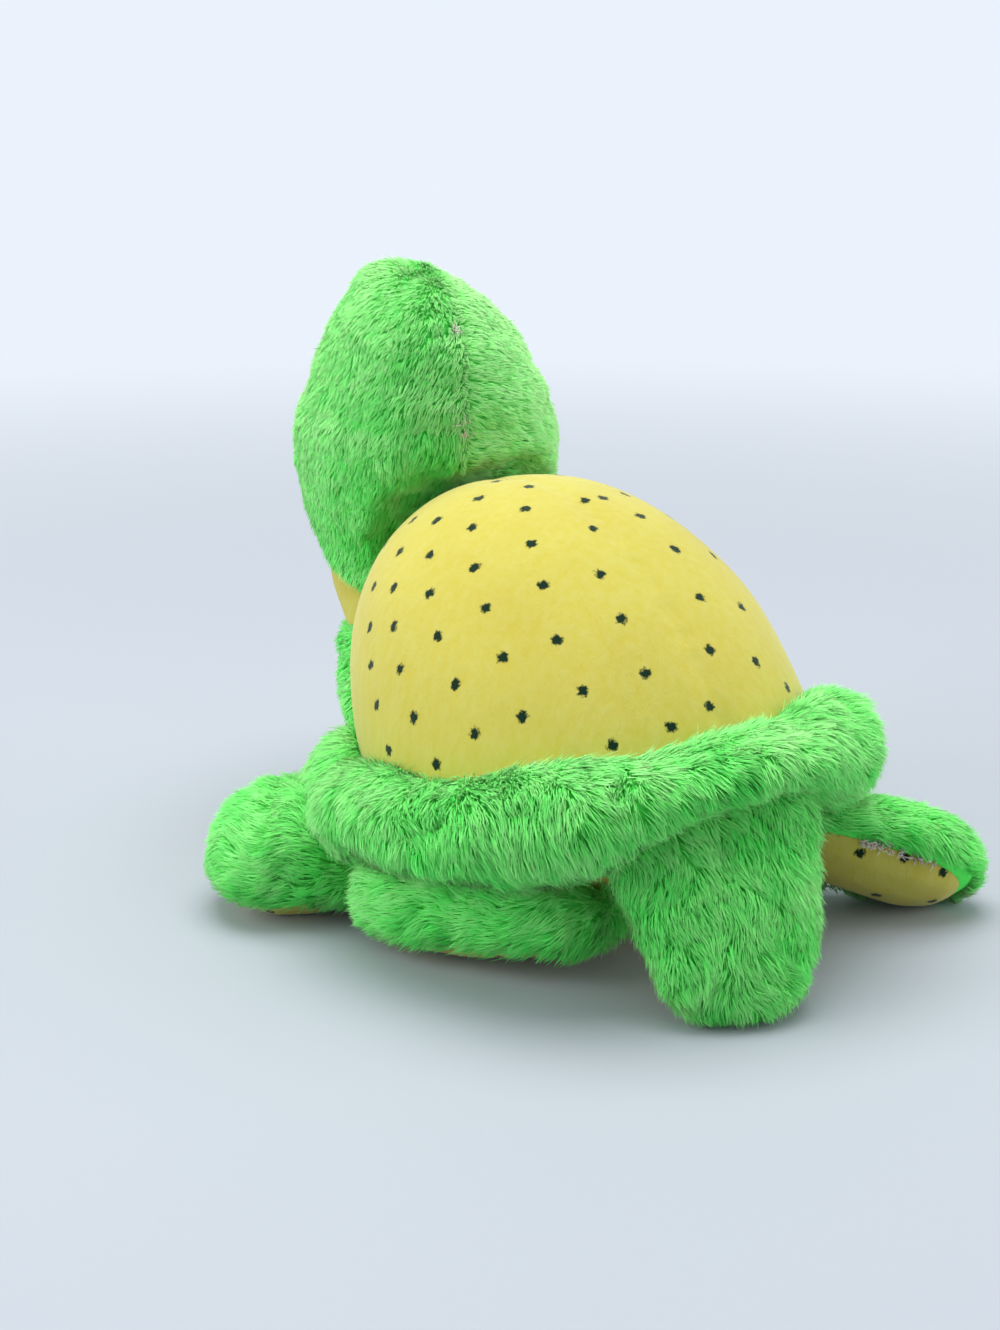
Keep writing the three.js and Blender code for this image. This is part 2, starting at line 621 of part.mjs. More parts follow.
function addHead() {
  const placement = new THREE.Matrix4().makeRotationZ(degrees(HEAD_TURN))
    .setPosition(0, -HEAD_AXIS_FORWARD, 0);
  const placements = turnedPlacements(placement);
  const innerClearance = FABRIC_THICKNESS + FIT_GAP;
  let outside = solidOf(headSkin(0)).subtract(bodyCutter(HEAD_SHELL_GAP, placements));
  const inside = solidOf(headSkin(FABRIC_THICKNESS))
    .subtract(bodyCutter(HEAD_SHELL_GAP + FABRIC_THICKNESS, placements));
  const clearOfNape = inside.translate(0, -FIT_GAP, -FIT_GAP);
  let fill = solidOf(headSkin(innerClearance + FIT_GAP)).intersect(clearOfNape)
    .subtract(bodyCutter(HEAD_SHELL_GAP + innerClearance, placements));
  outside = outside.subtract(inside);
  const group = new THREE.Group();
  group.applyMatrix4(placement);
  const holeRadius = EYE_SHAFT_RADIUS + FIT_GAP;
  const pocketDepth = EYE_SHAFT_LENGTH + FIT_GAP;
  for (const [name, side] of [['left', 1], ['right', -1]]) {
    const seat = eyePlacement(side);
    outside = outside.subtract(solidOf(boreForm(holeRadius, pocketDepth, -EYE_RIM), seat))
      .subtract(solidOf(boreForm(EYE_RADIUS + FIT_GAP, FIT_GAP, -EYE_DOME), seat))
      .subtract(solidOf(boreForm(WASHER_RADIUS + FIT_GAP, pocketDepth, -washerTop - FIT_GAP), seat));
    fill = fill.subtract(solidOf(boreForm(WASHER_RADIUS + FIT_GAP, pocketDepth, -EYE_RIM), seat));
    group.add(
      meshOf(`eye_${name}`, solidOf(eyeForm(), seat), eyeBlack),
      meshOf(`eye_washer_${name}`, solidOf(washerForm(), seat), washerWhite),
    );
  }
  const chinNormal = UP.clone().applyAxisAngle(new THREE.Vector3(1, 0, 0), -degrees(CHIN_SEAM_SLOPE));
  const chinPoint = new THREE.Vector3(0, 0, NECK_TOP_HEIGHT + CHIN_SEAM_RISE);
  const { above, below } = partedBy(outside, chinNormal, chinNormal.dot(chinPoint));
  const { above: coverLeft, below: coverRight } = partedBy(above, new THREE.Vector3(1, 0, 0), HEAD_SEAM_SIDE);
  group.add(
    meshOf('head_cover_left', coverLeft, plush),
    meshOf('head_cover_right', coverRight, plush),
    meshOf('chin_panel', below, velour),
    meshOf('head_stuffing', fill, fibre),
  );
  turtle.add(group);
}

addBody();
addLimbs();
addNeck();
addHead();

export default turtle;
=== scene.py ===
"""A stuffed turtle in green plush and spotted yellow velour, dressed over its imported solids."""
import math
from collections import namedtuple

import bmesh
import bpy
import numpy as np
from mathutils import Matrix, Vector
from mathutils.bvhtree import BVHTree
from mathutils.kdtree import KDTree


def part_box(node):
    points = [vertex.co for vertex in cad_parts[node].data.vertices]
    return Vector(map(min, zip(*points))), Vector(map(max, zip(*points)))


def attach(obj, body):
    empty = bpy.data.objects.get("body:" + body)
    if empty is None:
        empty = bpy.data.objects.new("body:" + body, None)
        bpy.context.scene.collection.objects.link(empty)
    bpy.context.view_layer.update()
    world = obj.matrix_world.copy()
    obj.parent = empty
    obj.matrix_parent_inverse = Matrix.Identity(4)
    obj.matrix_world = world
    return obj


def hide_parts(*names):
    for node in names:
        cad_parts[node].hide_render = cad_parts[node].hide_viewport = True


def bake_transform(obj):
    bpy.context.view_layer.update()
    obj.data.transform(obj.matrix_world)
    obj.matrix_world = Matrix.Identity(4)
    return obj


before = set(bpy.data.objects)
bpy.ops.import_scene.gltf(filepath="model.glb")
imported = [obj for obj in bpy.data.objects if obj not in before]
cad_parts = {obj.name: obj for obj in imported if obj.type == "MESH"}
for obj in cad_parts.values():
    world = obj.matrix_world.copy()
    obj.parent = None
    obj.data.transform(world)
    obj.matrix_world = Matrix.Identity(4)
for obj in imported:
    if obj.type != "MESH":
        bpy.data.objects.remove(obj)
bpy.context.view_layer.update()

MM = 0.001

# The body's form, as the part's source has it, in metres
SHELL_HALF_WIDTH = 0.0605
SHELL_HALF_LENGTH = 0.068
SHELL_HEIGHT = 0.085
SHELL_BULGE = 2.15
SHELL_BACK = 0.008
SHELL_LEAN = 0.024
SHELL_SEAM_SIDE = 0.002
BRIM_HEIGHT = 0.038
BRIM_HALF_HEIGHT = 0.0135
BODY_PITCH = math.radians(11)
BELLY_REST_HALF_WIDTH = 0.025
BELLY_REST_HALF_LENGTH = 0.033
BELLY_REST_FORWARD = 0.009
BELLY_BULGE = 1.29
BELLY_EDGE_SHARE = 0.94
DOME_START = BRIM_HEIGHT + BRIM_HALF_HEIGHT / 2
DOME_RISE = SHELL_HEIGHT - BRIM_HALF_HEIGHT / 2

# Where the neck bends, where the head turns and how it faces
HEAD_AXIS = Vector((0, -0.077, 0))
HEAD_TURN = math.radians(-20)
HEAD_SEAM_SIDE = -0.0045
CHIN_SEAM = Vector((0, 0, 0.079))
CHIN_SLOPE = math.radians(20)
EYE_KEEP_CLEAR = 0.0062

# A limb's heading, slope and roll in degrees as packed and as it rests once it is stuffed, the
# point that it hangs from, how far that point moves, how many times as long it rests, and how many
# times as wide and as thick at its root and at its tip
Limb = namedtuple("Limb", "packed rest root moved longer wider tip_wider thicker tip_thicker")
LIMBS = {
    "front_left_flipper": Limb((-42, 0, 0), (-32, 0, 0), (0.044, -0.036, 0.012),
                               (0.0012, 0.0072, 0), 1, 1.08, 1.08, 1.1, 1.1),
    "front_right_flipper": Limb((222, 0, 0), (222, 0, 0), (-0.044, -0.036, 0.012),
                                (0, 0, 0), 1, 1.08, 1.08, 1.1, 1.1),
    "hind_left_leg": Limb((-49, 0, 0), (-60, 4.5, 0), (0.030, 0.039, 0.012),
                          (-0.003, 0.002, 0.004), 1, 1, 1, 1.2, 1.1),
    "hind_right_leg": Limb((156, 0, -38), (156, 18, -46), (-0.030, 0.039, 0.012),
                           (0, 0, 0.016), 1.06, 0.9, 1, 0.55, 1.05),
    "tail": Limb((79, 36, 0), (78, 60, 0), (0, 0.056, 0.034),
                 (0.0056, 0.0072, 0.022), 1.2, 1.1, 0.84, 1, 1),
}
SEAM_GAP = 0.0003

# The least height of a skin, of the middle of a fibre and of its tip over the table
SKIN_OVER_TABLE = 0.0001
MIDDLE_OVER_TABLE = 0.0006
TIP_OVER_TABLE = 0.0004


# Camera, at the photograph's viewing angle

CAMERA_AZIMUTH = math.radians(146)
CAMERA_ELEVATION = math.radians(16)
CAMERA_DISTANCE = 0.65
CAMERA_TARGET = Vector((0.0174, -0.0117, 0.070))
CAMERA_LENS = 63.34
TO_CAMERA = np.array([math.sin(CAMERA_AZIMUTH) * math.cos(CAMERA_ELEVATION),
                      -math.cos(CAMERA_AZIMUTH) * math.cos(CAMERA_ELEVATION),
                      math.sin(CAMERA_ELEVATION)])
SCREEN_RIGHT = np.array([math.cos(CAMERA_AZIMUTH), math.sin(CAMERA_AZIMUTH), 0])


def add_camera():
    back = Vector(TO_CAMERA)
    camera = bpy.data.objects.new("camera", bpy.data.cameras.new("camera"))
    camera.data.lens = CAMERA_LENS
    camera.data.sensor_width = 36
    camera.location = CAMERA_TARGET + back * CAMERA_DISTANCE
    camera.rotation_euler = back.to_track_quat("Z", "Y").to_euler()
    bpy.context.scene.collection.objects.link(camera)
    bpy.context.scene.camera = camera


add_camera()


# Small helpers

def lerp(low, high, share):
    return low + (high - low) * share


def unit(vectors):
    lengths = np.linalg.norm(vectors, axis=1, keepdims=True)
    return vectors / np.maximum(lengths, 1e-12)


# Large odd numbers that scatter a cell's place and a seed over all values, and how many are kept
HASH_PLACE = (73856093, 19349663, 83492791)
HASH_SEED = 2654435761
HASH_SPREAD = 1274126177
HASH_KEPT = 0xFFFF


def mottle(points, cell, seed):
    """Smooth random values from -1 to 1 over space, with one free value to a cell."""
    grid = points / cell
    base = np.floor(grid).astype(np.int64)
    part = grid - base
    part = part * part * (3 - 2 * part)
    total = np.zeros(len(points))
    for corner in np.ndindex(2, 2, 2):
        place = base + np.array(corner)
        x, y, z = (place * np.array(HASH_PLACE)).T
        mixed = x ^ y ^ z ^ seed * HASH_SEED
        mixed = (mixed ^ (mixed >> 13)) * HASH_SPREAD
        value = ((mixed ^ (mixed >> 16)) & HASH_KEPT) / (HASH_KEPT / 2) - 1
        weight = np.prod(np.where(np.array(corner) == 1, part, 1 - part), axis=1)
        total += weight * value
    return total


def patches(points, parts, seed):
    """Sum of smooth random values over space, each with its share and the size of its cells."""
    return sum(share * mottle(points, cell, seed + number)
               for number, (share, cell) in enumerate(parts))


def mesh_arrays(mesh):
    """The points, triangles and point normals of a mesh."""
    points = np.zeros(len(mesh.vertices) * 3)
    mesh.vertices.foreach_get("co", points)
    normals = np.zeros(len(mesh.vertices) * 3)
    mesh.vertex_normals.foreach_get("vector", normals)
    mesh.calc_loop_triangles()
    triangles = np.zeros(len(mesh.loop_triangles) * 3, np.int32)
    mesh.loop_triangles.foreach_get("vertices", triangles)
    return points.reshape(-1, 3), triangles.reshape(-1, 3), normals.reshape(-1, 3)


def set_points(mesh, points):
    mesh.vertices.foreach_set("co", points.reshape(-1))
    mesh.update()


def finder_of(centres):
    """A search tree that numbers the centres in their order."""
    tree = KDTree(len(centres))
    for number, centre in enumerate(centres):
        tree.insert(centre, number)
    tree.balance()
    return tree


def everywhere(centres):
    return np.ones(len(centres), bool)


def add_piece(name, mesh, body, material, stands_for=()):
    """A shown piece: it rides on its body, has a slot's finish, and stands for CAD nodes."""
    piece = bpy.data.objects.new(name, mesh)
    bpy.context.scene.collection.objects.link(piece)
    mesh.materials.clear()
    mesh.materials.append(material)
    mesh.polygons.foreach_set("use_smooth", np.ones(len(mesh.polygons), bool))
    if body:
        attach(piece, body)
    if stands_for:
        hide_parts(*stands_for)
    return piece


def pitched(points, share=1.0):
    """Tips points of the level body nose-down; share 0 leaves them level."""
    turn = BODY_PITCH * np.asarray(share, float)
    y = points[:, 1]
    z = points[:, 2] - BRIM_HEIGHT
    return np.stack([points[:, 0], y * np.cos(turn) - z * np.sin(turn),
                     y * np.sin(turn) + z * np.cos(turn) + BRIM_HEIGHT], axis=1)


def dome_place(points):
    """How far out and up each point is in terms of the dome, where both are 1 at its skin."""
    level = pitched(points, -1.0)
    lift = (level[:, 2] - DOME_START) / DOME_RISE
    up = np.maximum(lift, 0)
    side = level[:, 0] / SHELL_HALF_WIDTH
    back = (level[:, 1] - SHELL_BACK + SHELL_LEAN * up) / SHELL_HALF_LENGTH
    return level, side, back, up


def clear_of_shell(points, margin=0.0006):
    """Moves points that lie inside the dome out to its surface, plus a margin."""
    level, side, back, up = dome_place(points)
    reach = (np.hypot(side, back) ** SHELL_BULGE + up ** SHELL_BULGE) ** (1 / SHELL_BULGE)
    wanted = 1 + margin / SHELL_HALF_WIDTH
    inside = (reach < wanted) & (level[:, 2] > BRIM_HEIGHT - BRIM_HALF_HEIGHT)
    scale = np.where(inside, wanted / np.maximum(reach, 1e-6), 1)
    up = up * scale
    moved = np.stack([SHELL_HALF_WIDTH * side * scale,
                      SHELL_HALF_LENGTH * back * scale + SHELL_BACK - SHELL_LEAN * up,
                      np.where(up > 0, DOME_START + DOME_RISE * up, level[:, 2])], axis=1)
    return pitched(moved)


# Materials

# The velour's yellow, and a paler yellow that the nap's streaks take at random
YELLOW = (0.50, 0.425, 0.050)
YELLOW_PALE_STREAKS = (0.53, 0.495, 0.130)
SPOT_GREEN = (0.003, 0.020, 0.008)
# Colours from a fibre's root to its tip, for the deepest and for the palest fibres
DEEP_FIBRE = ((0.0, (0.050, 0.86, 0.080)), (0.45, (0.050, 0.84, 0.085)), (1.0, (0.12, 0.90, 0.15)))
PALE_FIBRE = ((0.0, (0.140, 0.94, 0.130)), (0.45, (0.24, 0.95, 0.20)), (1.0, (0.58, 0.99, 0.44)))
GROUND_GREENS = ((0, (0.06, 0.76, 0.08)), (1, (0.14, 0.92, 0.14)))
NAP_DRIFT = ((0.3, (0.97, 0.95, 0.9)), (0.65, (1, 1, 1)))


def nodes_of(tree):
    tree.nodes.clear()
    return tree.nodes, tree.links


def shaded(name, values):
    """A material whose one shader has the given values, and its nodes and links."""
    material = bpy.data.materials.new(name)
    material.use_nodes = True
    nodes, links = nodes_of(material.node_tree)
    shader = nodes.new("ShaderNodeBsdfPrincipled")
    for socket, value in values.items():
        shader.inputs[socket].default_value = value
    output = nodes.new("ShaderNodeOutputMaterial")
    links.new(shader.outputs["BSDF"], output.inputs["Surface"])
    return material, shader, nodes, links


def noise(nodes, links, scale, detail, stretch=(1, 1, 1)):
    place = nodes.new("ShaderNodeTexCoord")
    mapping = nodes.new("ShaderNodeMapping")
    mapping.inputs["Scale"].default_value = stretch
    links.new(place.outputs["Object"], mapping.inputs["Vector"])
    texture = nodes.new("ShaderNodeTexNoise")
    texture.inputs["Scale"].default_value = scale
    texture.inputs["Detail"].default_value = detail
    links.new(mapping.outputs["Vector"], texture.inputs["Vector"])
    return texture.outputs["Fac"]


def joined(nodes, links, operation, first, second, third=None):
    """A sum of up to three sockets or numbers."""
    node = nodes.new("ShaderNodeMath")
    node.operation = operation
    for number, value in enumerate((first, second, third)):
        if isinstance(value, float):
            node.inputs[number].default_value = value
        elif value is not None:
            links.new(value, node.inputs[number])
    return node.outputs[0]


def ranged(nodes, links, value, low, high, way="LINEAR"):
    """0 where the value is low, and 1 where it is high."""
    node = nodes.new("ShaderNodeMapRange")
    node.interpolation_type = way
    node.inputs["From Min"].default_value = low
    node.inputs["From Max"].default_value = high
    links.new(value, node.inputs["Value"])
    return node.outputs["Result"]


def ramp(nodes, links, value, stops):
    node = nodes.new("ShaderNodeValToRGB")
    elements = node.color_ramp.elements
    while len(elements) < len(stops):
        elements.new(0.5)
    for element, (position, colour) in zip(elements, stops):
        element.position = position
        element.color = (*colour, 1)
    links.new(value, node.inputs["Fac"])
    return node.outputs["Color"]


def blended(nodes, links, first, second, share=None):
    """Two colours mixed by a share, or multiplied where there is none."""
    node = nodes.new("ShaderNodeMix")
    node.data_type = "RGBA"
    if share is None:
        node.blend_type = "MULTIPLY"
        node.inputs["Factor"].default_value = 1
    else:
        links.new(share, node.inputs["Factor"])
    links.new(first, node.inputs[6])
    links.new(second, node.inputs[7])
    return node.outputs[2]


def spotted_nap_group():
    """Velour's colour: a nap that lies in streaks, and printed spots with ragged edges."""
    tree = bpy.data.node_groups.new("spotted_nap", "ShaderNodeTree")
    for name, way, kind in (("Cloth", "INPUT", "Color"), ("Pale Streak Cloth", "INPUT", "Color"),
                            ("Spot", "INPUT", "Color"), ("Spot Amount", "INPUT", "Float"),
                            ("Color", "OUTPUT", "Color"), ("Nap Height", "OUTPUT", "Float")):
        tree.interface.new_socket(name=name, in_out=way, socket_type=f"NodeSocket{kind}")
    nodes, links = nodes_of(tree)
    given = nodes.new("NodeGroupInput").outputs
    result = nodes.new("NodeGroupOutput").inputs
    fine = noise(nodes, links, 1500, 3, (1, 1, 0.45))
    streaks = noise(nodes, links, 420, 4, (1, 1, 0.35))
    nap = joined(nodes, links, "MULTIPLY_ADD", fine, 0.5, streaks)
    # Paler yellow where the nap's streaks run, at random
    pale_streaks = ranged(nodes, links, nap, 0.35, 1.25)
    cloth = blended(nodes, links, given["Cloth"], given["Pale Streak Cloth"], pale_streaks)
    drift = ramp(nodes, links, noise(nodes, links, 45, 3), NAP_DRIFT)
    cloth = blended(nodes, links, cloth, drift)
    spots = nodes.new("ShaderNodeAttribute")
    spots.attribute_name = "spot"
    ragged = noise(nodes, links, 900, 2)
    edge = joined(nodes, links, "MULTIPLY_ADD", ragged, 0.9, spots.outputs["Fac"])
    mask = ranged(nodes, links, edge, 0.78, 1.02)
    amount = joined(nodes, links, "MULTIPLY", mask, given["Spot Amount"])
    links.new(blended(nodes, links, cloth, given["Spot"], amount), result["Color"])
    links.new(nap, result["Nap Height"])
    return tree


SPOTTED_NAP = spotted_nap_group()


def plain_finish(name, colour, roughness, coat):
    return shaded(name, {"Base Color": (*colour, 1), "Roughness": roughness, "Coat Weight": coat,
                         "Coat Roughness": 0.04})[0]


def velour(name, spot_amount=1.0):
    """Short-napped cloth, paler where it is seen edge on."""
    material, shader, nodes, links = shaded(name, {
        "Roughness": 0.92, "Specular IOR Level": 0.12, "Sheen Weight": 0.3, "Sheen Roughness": 0.4,
        "Sheen Tint": (1, 1, 0.85, 1)})
    nap = nodes.new("ShaderNodeGroup")
    nap.node_tree = SPOTTED_NAP
    nap.inputs["Cloth"].default_value = (*YELLOW, 1)
    nap.inputs["Pale Streak Cloth"].default_value = (*YELLOW_PALE_STREAKS, 1)
    nap.inputs["Spot"].default_value = (*SPOT_GREEN, 1)
    nap.inputs["Spot Amount"].default_value = spot_amount
    bump = nodes.new("ShaderNodeBump")
    bump.inputs["Strength"].default_value = 0.35
    bump.inputs["Distance"].default_value = 0.0005
    links.new(nap.outputs["Color"], shader.inputs["Base Color"])
    links.new(nap.outputs["Nap Height"], bump.inputs["Height"])
    links.new(bump.outputs["Normal"], shader.inputs["Normal"])
    return material


def pile_fibre(name):
    """Plush fibres: the map's height is the way up the fibre, its width picks the shade."""
    material, shader, nodes, links = shaded(name, {
        "Roughness": 0.7, "Specular IOR Level": 0.1, "Sheen Weight": 0.3, "Sheen Roughness": 0.5,
        "Sheen Tint": (0.8, 1, 0.5, 1)})
    layout = nodes.new("ShaderNodeUVMap")
    layout.uv_map = "OFBake"
    parts = nodes.new("ShaderNodeSeparateXYZ")
    links.new(layout.outputs["UV"], parts.inputs["Vector"])
    deep = ramp(nodes, links, parts.outputs["Y"], DEEP_FIBRE)
    pale = ramp(nodes, links, parts.outputs["Y"], PALE_FIBRE)
    links.new(blended(nodes, links, deep, pale, parts.outputs["X"]), shader.inputs["Base Color"])
    return material


def plush_backing(name):
    """The knitted ground that the plush fibres stand in, seen only where they part."""
    material, shader, nodes, links = shaded(name, {"Roughness": 0.95, "Specular IOR Level": 0.1})
    grain = noise(nodes, links, 900, 3)
    links.new(ramp(nodes, links, grain, GROUND_GREENS), shader.inputs["Base Color"])
    return material


spotted_velour = velour("spotted_velour")
plain_velour = velour("plain_velour", spot_amount=0.0)
plush_fibre = pile_fibre("plush_fibre")
backing_thread = plain_finish("backing_thread", (0.80, 0.70, 0.62), 0.8, 0.0)
plush_ground = plush_backing("plush_ground")


# Stuffed skins, each remeshed from the solids that it stands for

REMESH_VOXEL = 0.0013
SMOOTHING = 0.6
SMOOTHING_ROUNDS = 14


def stuffed_solid(nodes):
    """One closed skin round the given CAD nodes, with their seam gaps closed."""
    whole = bmesh.new()
    for node in nodes:
        whole.from_mesh(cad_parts[node].data)
    mesh = bpy.data.meshes.new("stuffed")
    whole.to_mesh(mesh)
    whole.free()
    form = bpy.data.objects.new("stuffed", mesh)
    bpy.context.scene.collection.objects.link(form)
    remesh = form.modifiers.new("remesh", "REMESH")
    remesh.mode = "VOXEL"
    remesh.voxel_size = REMESH_VOXEL
    smooth = form.modifiers.new("smooth", "SMOOTH")
    smooth.factor = SMOOTHING
    smooth.iterations = SMOOTHING_ROUNDS
    graph = bpy.context.evaluated_depsgraph_get()
    skin = bpy.data.meshes.new_from_object(form.evaluated_get(graph))
    bpy.data.objects.remove(form)
    solid = bmesh.new()
    solid.from_mesh(skin)
    drop_inner_shells(solid)
    return solid


def drop_inner_shells(solid):
    """Keeps the largest closed shell and deletes the voids inside it."""
    left = set(solid.verts)
    shells = []
    while left:
        start = left.pop()
        shell = [start]
        queue = [start]
        while queue:
            for edge in queue.pop().link_edges:
                for vert in edge.verts:
                    if vert in left:
                        left.remove(vert)
                        shell.append(vert)
                        queue.append(vert)
        shells.append(shell)
    shells.sort(key=len)
    for shell in shells[:-1]:
        bmesh.ops.delete(solid, geom=shell, context="VERTS")


# How far the dense foot of the pile stands out, how uneven it is, the shares and sizes of its
# locks, and how far from a seam it reaches its full depth
FLUFF_DEPTH = 0.0018
FLUFF_RELIEF = 0.0010
FLUFF_LOCKS = ((1, 0.0075), (0.5, 0.004))
FLUFF_FADE = 0.004
HEAD_FLUFF_DEPTH = 0.0004


def fluffed(solid, weigh, seed, depth=FLUFF_DEPTH):
    """Swells a skin by the dense foot of its pile, in soft locks, as far as weigh lets it."""
    points = np.array([vert.co for vert in solid.verts])
    solid.normal_update()
    normals = np.array([vert.normal for vert in solid.verts])
    swell = depth + FLUFF_RELIEF * patches(points, FLUFF_LOCKS, seed)
    moved = points + normals * (swell * weigh(points))[:, None]
    for vert, place in zip(solid.verts, moved):
        vert.co = place


def cut_half(solid, point, normal):
    """A closed copy of the solid with everything below the plane cut away."""
    half = solid.copy()
    bmesh.ops.bisect_plane(half, geom=half.verts[:] + half.edges[:] + half.faces[:],
                           plane_co=point, plane_no=normal, clear_inner=True)
    open_edges = [edge for edge in half.edges if edge.is_boundary]
    bmesh.ops.holes_fill(half, edges=open_edges)
    return half


def finished_mesh(solid, name):
    mesh = bpy.data.meshes.new(name)
    bmesh.ops.recalc_face_normals(solid, faces=solid.faces[:])
    solid.to_mesh(mesh)
    solid.free()
    return mesh


# Plush pile: each fibre is a thin three-sided spindle, drawn together with its neighbours in tufts

FIBRE_SIDES = 3
ROOT_DEPTH = 0.0004
# Shares and sizes of the patches in which fibres swirl, lean, grow long and are pale
SWIRL_PATCHES = ((0.7, 0.012), (0.55, 0.005))
LEAN_PATCHES = ((0.4, 0.009),)
LENGTH_PATCHES = ((0.14, 0.007),)
SHADE_PATCHES = ((0.26, 0.016), (0.14, 0.006))
# How much fibres stray in lean and length, and in the ways that they start and end
LEAN_STRAY = 0.25
LENGTH_STRAY = 0.14
START_STRAY = 0.2
END_STRAY = 0.22
# The share of the lean that a fibre starts and ends with, and how much its end still stands up
START_LEAN = 0.4
END_LEAN = 1.4
END_UPRIGHT = 0.6
# The shares of a fibre's length below and above its middle
BELOW_MIDDLE = 0.45
ABOVE_MIDDLE = 0.6
# How much of the pull of its tuft reaches a fibre's middle, and the least that reaches its tip
MIDDLE_PULLED = 0.3
TIP_PULLED = 0.6
# How much a tuft is shaded as a round thing, and a fibre as one
TUFT_ROUNDNESS = 0.4
FIBRE_ROUNDNESS = 0.25
# A fibre's half thickness at its middle, as a share of a width that differs by half
THICKNESS_SHARE = 0.6
LEAST_THICKNESS = 0.75
THICKNESS_RANGE = 0.5
# The usual shade, how much tufts and fibres differ from it, its limits, and how much paler it is
# painted on fibres that face up, which is painted light from above
USUAL_SHADE = 0.30
TUFT_SHADES = 0.08
FIBRE_SHADES = 0.06
SHADE_LIMITS = (0.03, 0.97)
PAINTED_LIGHT_ABOVE = 0.22
# Where a fibre's points lie on the map, up it and across it
MAP_HEIGHTS = [0.02] + [0.48] * FIBRE_SIDES + [0.98]
MAP_SPREAD = [0, -0.01, 0, 0.01, 0]


def scattered(mesh, keep, per_area, rng):
    """Random spots on the faces of a mesh where keep allows, with the normals there."""
    points, triangles, normals = mesh_arrays(mesh)
    corners = points[triangles]
    triangles = triangles[keep(corners.mean(axis=1))]
    corners = points[triangles]
    edges = corners[:, 1] - corners[:, 0], corners[:, 2] - corners[:, 0]
    areas = np.linalg.norm(np.cross(*edges), axis=1) / 2
    count = int(areas.sum() * per_area)
    chosen = rng.choice(len(triangles), count, p=areas / areas.sum())
    a, b = rng.random((2, count, 1))
    flip = a + b > 1
    a, b = np.where(flip, 1 - a, a), np.where(flip, 1 - b, b)
    c = 1 - a - b
    spots = corners[chosen, 0] * c + corners[chosen, 1] * a + corners[chosen, 2] * b
    facing = normals[triangles[chosen]]
    return spots, unit(facing[:, 0] * c + facing[:, 1] * a + facing[:, 2] * b)


def grown_pile(name, mesh, comb, seed, keep=everywhere, per_mm2=3.2, length=0.0065, width=0.00032,
               lie=0.75, tuft=0.0030, pull=0.32, ruffle=0.85, clear=None, paler=None):
    """A mesh of plush fibres on the surface: comb gives the way they lie at each root."""
    rng = np.random.default_rng(seed)
    roots, normals = scattered(mesh, keep, per_mm2 / MM ** 2, rng)
    count = len(roots)
    lying = comb(roots, normals)
    swirl = ruffle * patches(roots, SWIRL_PATCHES, seed + 1)
    lying = unit(lying - normals * np.sum(lying * normals, axis=1, keepdims=True))
    side = np.cross(normals, lying)
    lying = lying * np.cos(swirl)[:, None] + side * np.sin(swirl)[:, None]
    loose = 1 + LEAN_STRAY * rng.standard_normal((count, 1))
    lean = lie * loose * (1 + patches(roots, LEAN_PATCHES, seed + 3)[:, None])
    start = unit(normals + START_LEAN * lean * lying
                 + START_STRAY * rng.standard_normal((count, 3)))
    end = unit(normals * END_UPRIGHT + lean * END_LEAN * lying
               + END_STRAY * rng.standard_normal((count, 3)))
    strayed = LENGTH_STRAY * rng.standard_normal(count)
    reach = length * (1 + patches(roots, LENGTH_PATCHES, seed + 4) + strayed)[:, None]
    middles = roots + start * reach * BELOW_MIDDLE
    tips = middles + end * reach * ABOVE_MIDDLE
    tufts = max(1, int(count / (per_mm2 * (tuft / MM) ** 2)))
    leaders = rng.choice(count, tufts, replace=False)
    finder = finder_of(roots[leaders])
    owner = leaders[np.array([finder.find(root)[1] for root in roots])]
    middles = lerp(middles, middles[owner], pull * MIDDLE_PULLED)
    pulled = TIP_PULLED + (1 - TIP_PULLED) * rng.random((count, 1))
    tips = lerp(tips, tips[owner], pull * pulled)
    if clear:
        middles, tips = clear(middles), clear(tips)
    middles[:, 2] = np.maximum(middles[:, 2], MIDDLE_OVER_TABLE)
    tips[:, 2] = np.maximum(tips[:, 2], TIP_OVER_TABLE)
    facing = unit(normals + TUFT_ROUNDNESS * (roots - roots[owner]) / tuft)
    # Fibres that face up are painted paler, as painted light from above; paler adds more where it
    # is given
    shift = PAINTED_LIGHT_ABOVE * normals[:, 2] + (paler(roots) if paler else 0)
    sunk = roots - normals * ROOT_DEPTH
    return fibre_mesh(name, (sunk, middles, tips), facing, width, owner, shift, rng, seed)


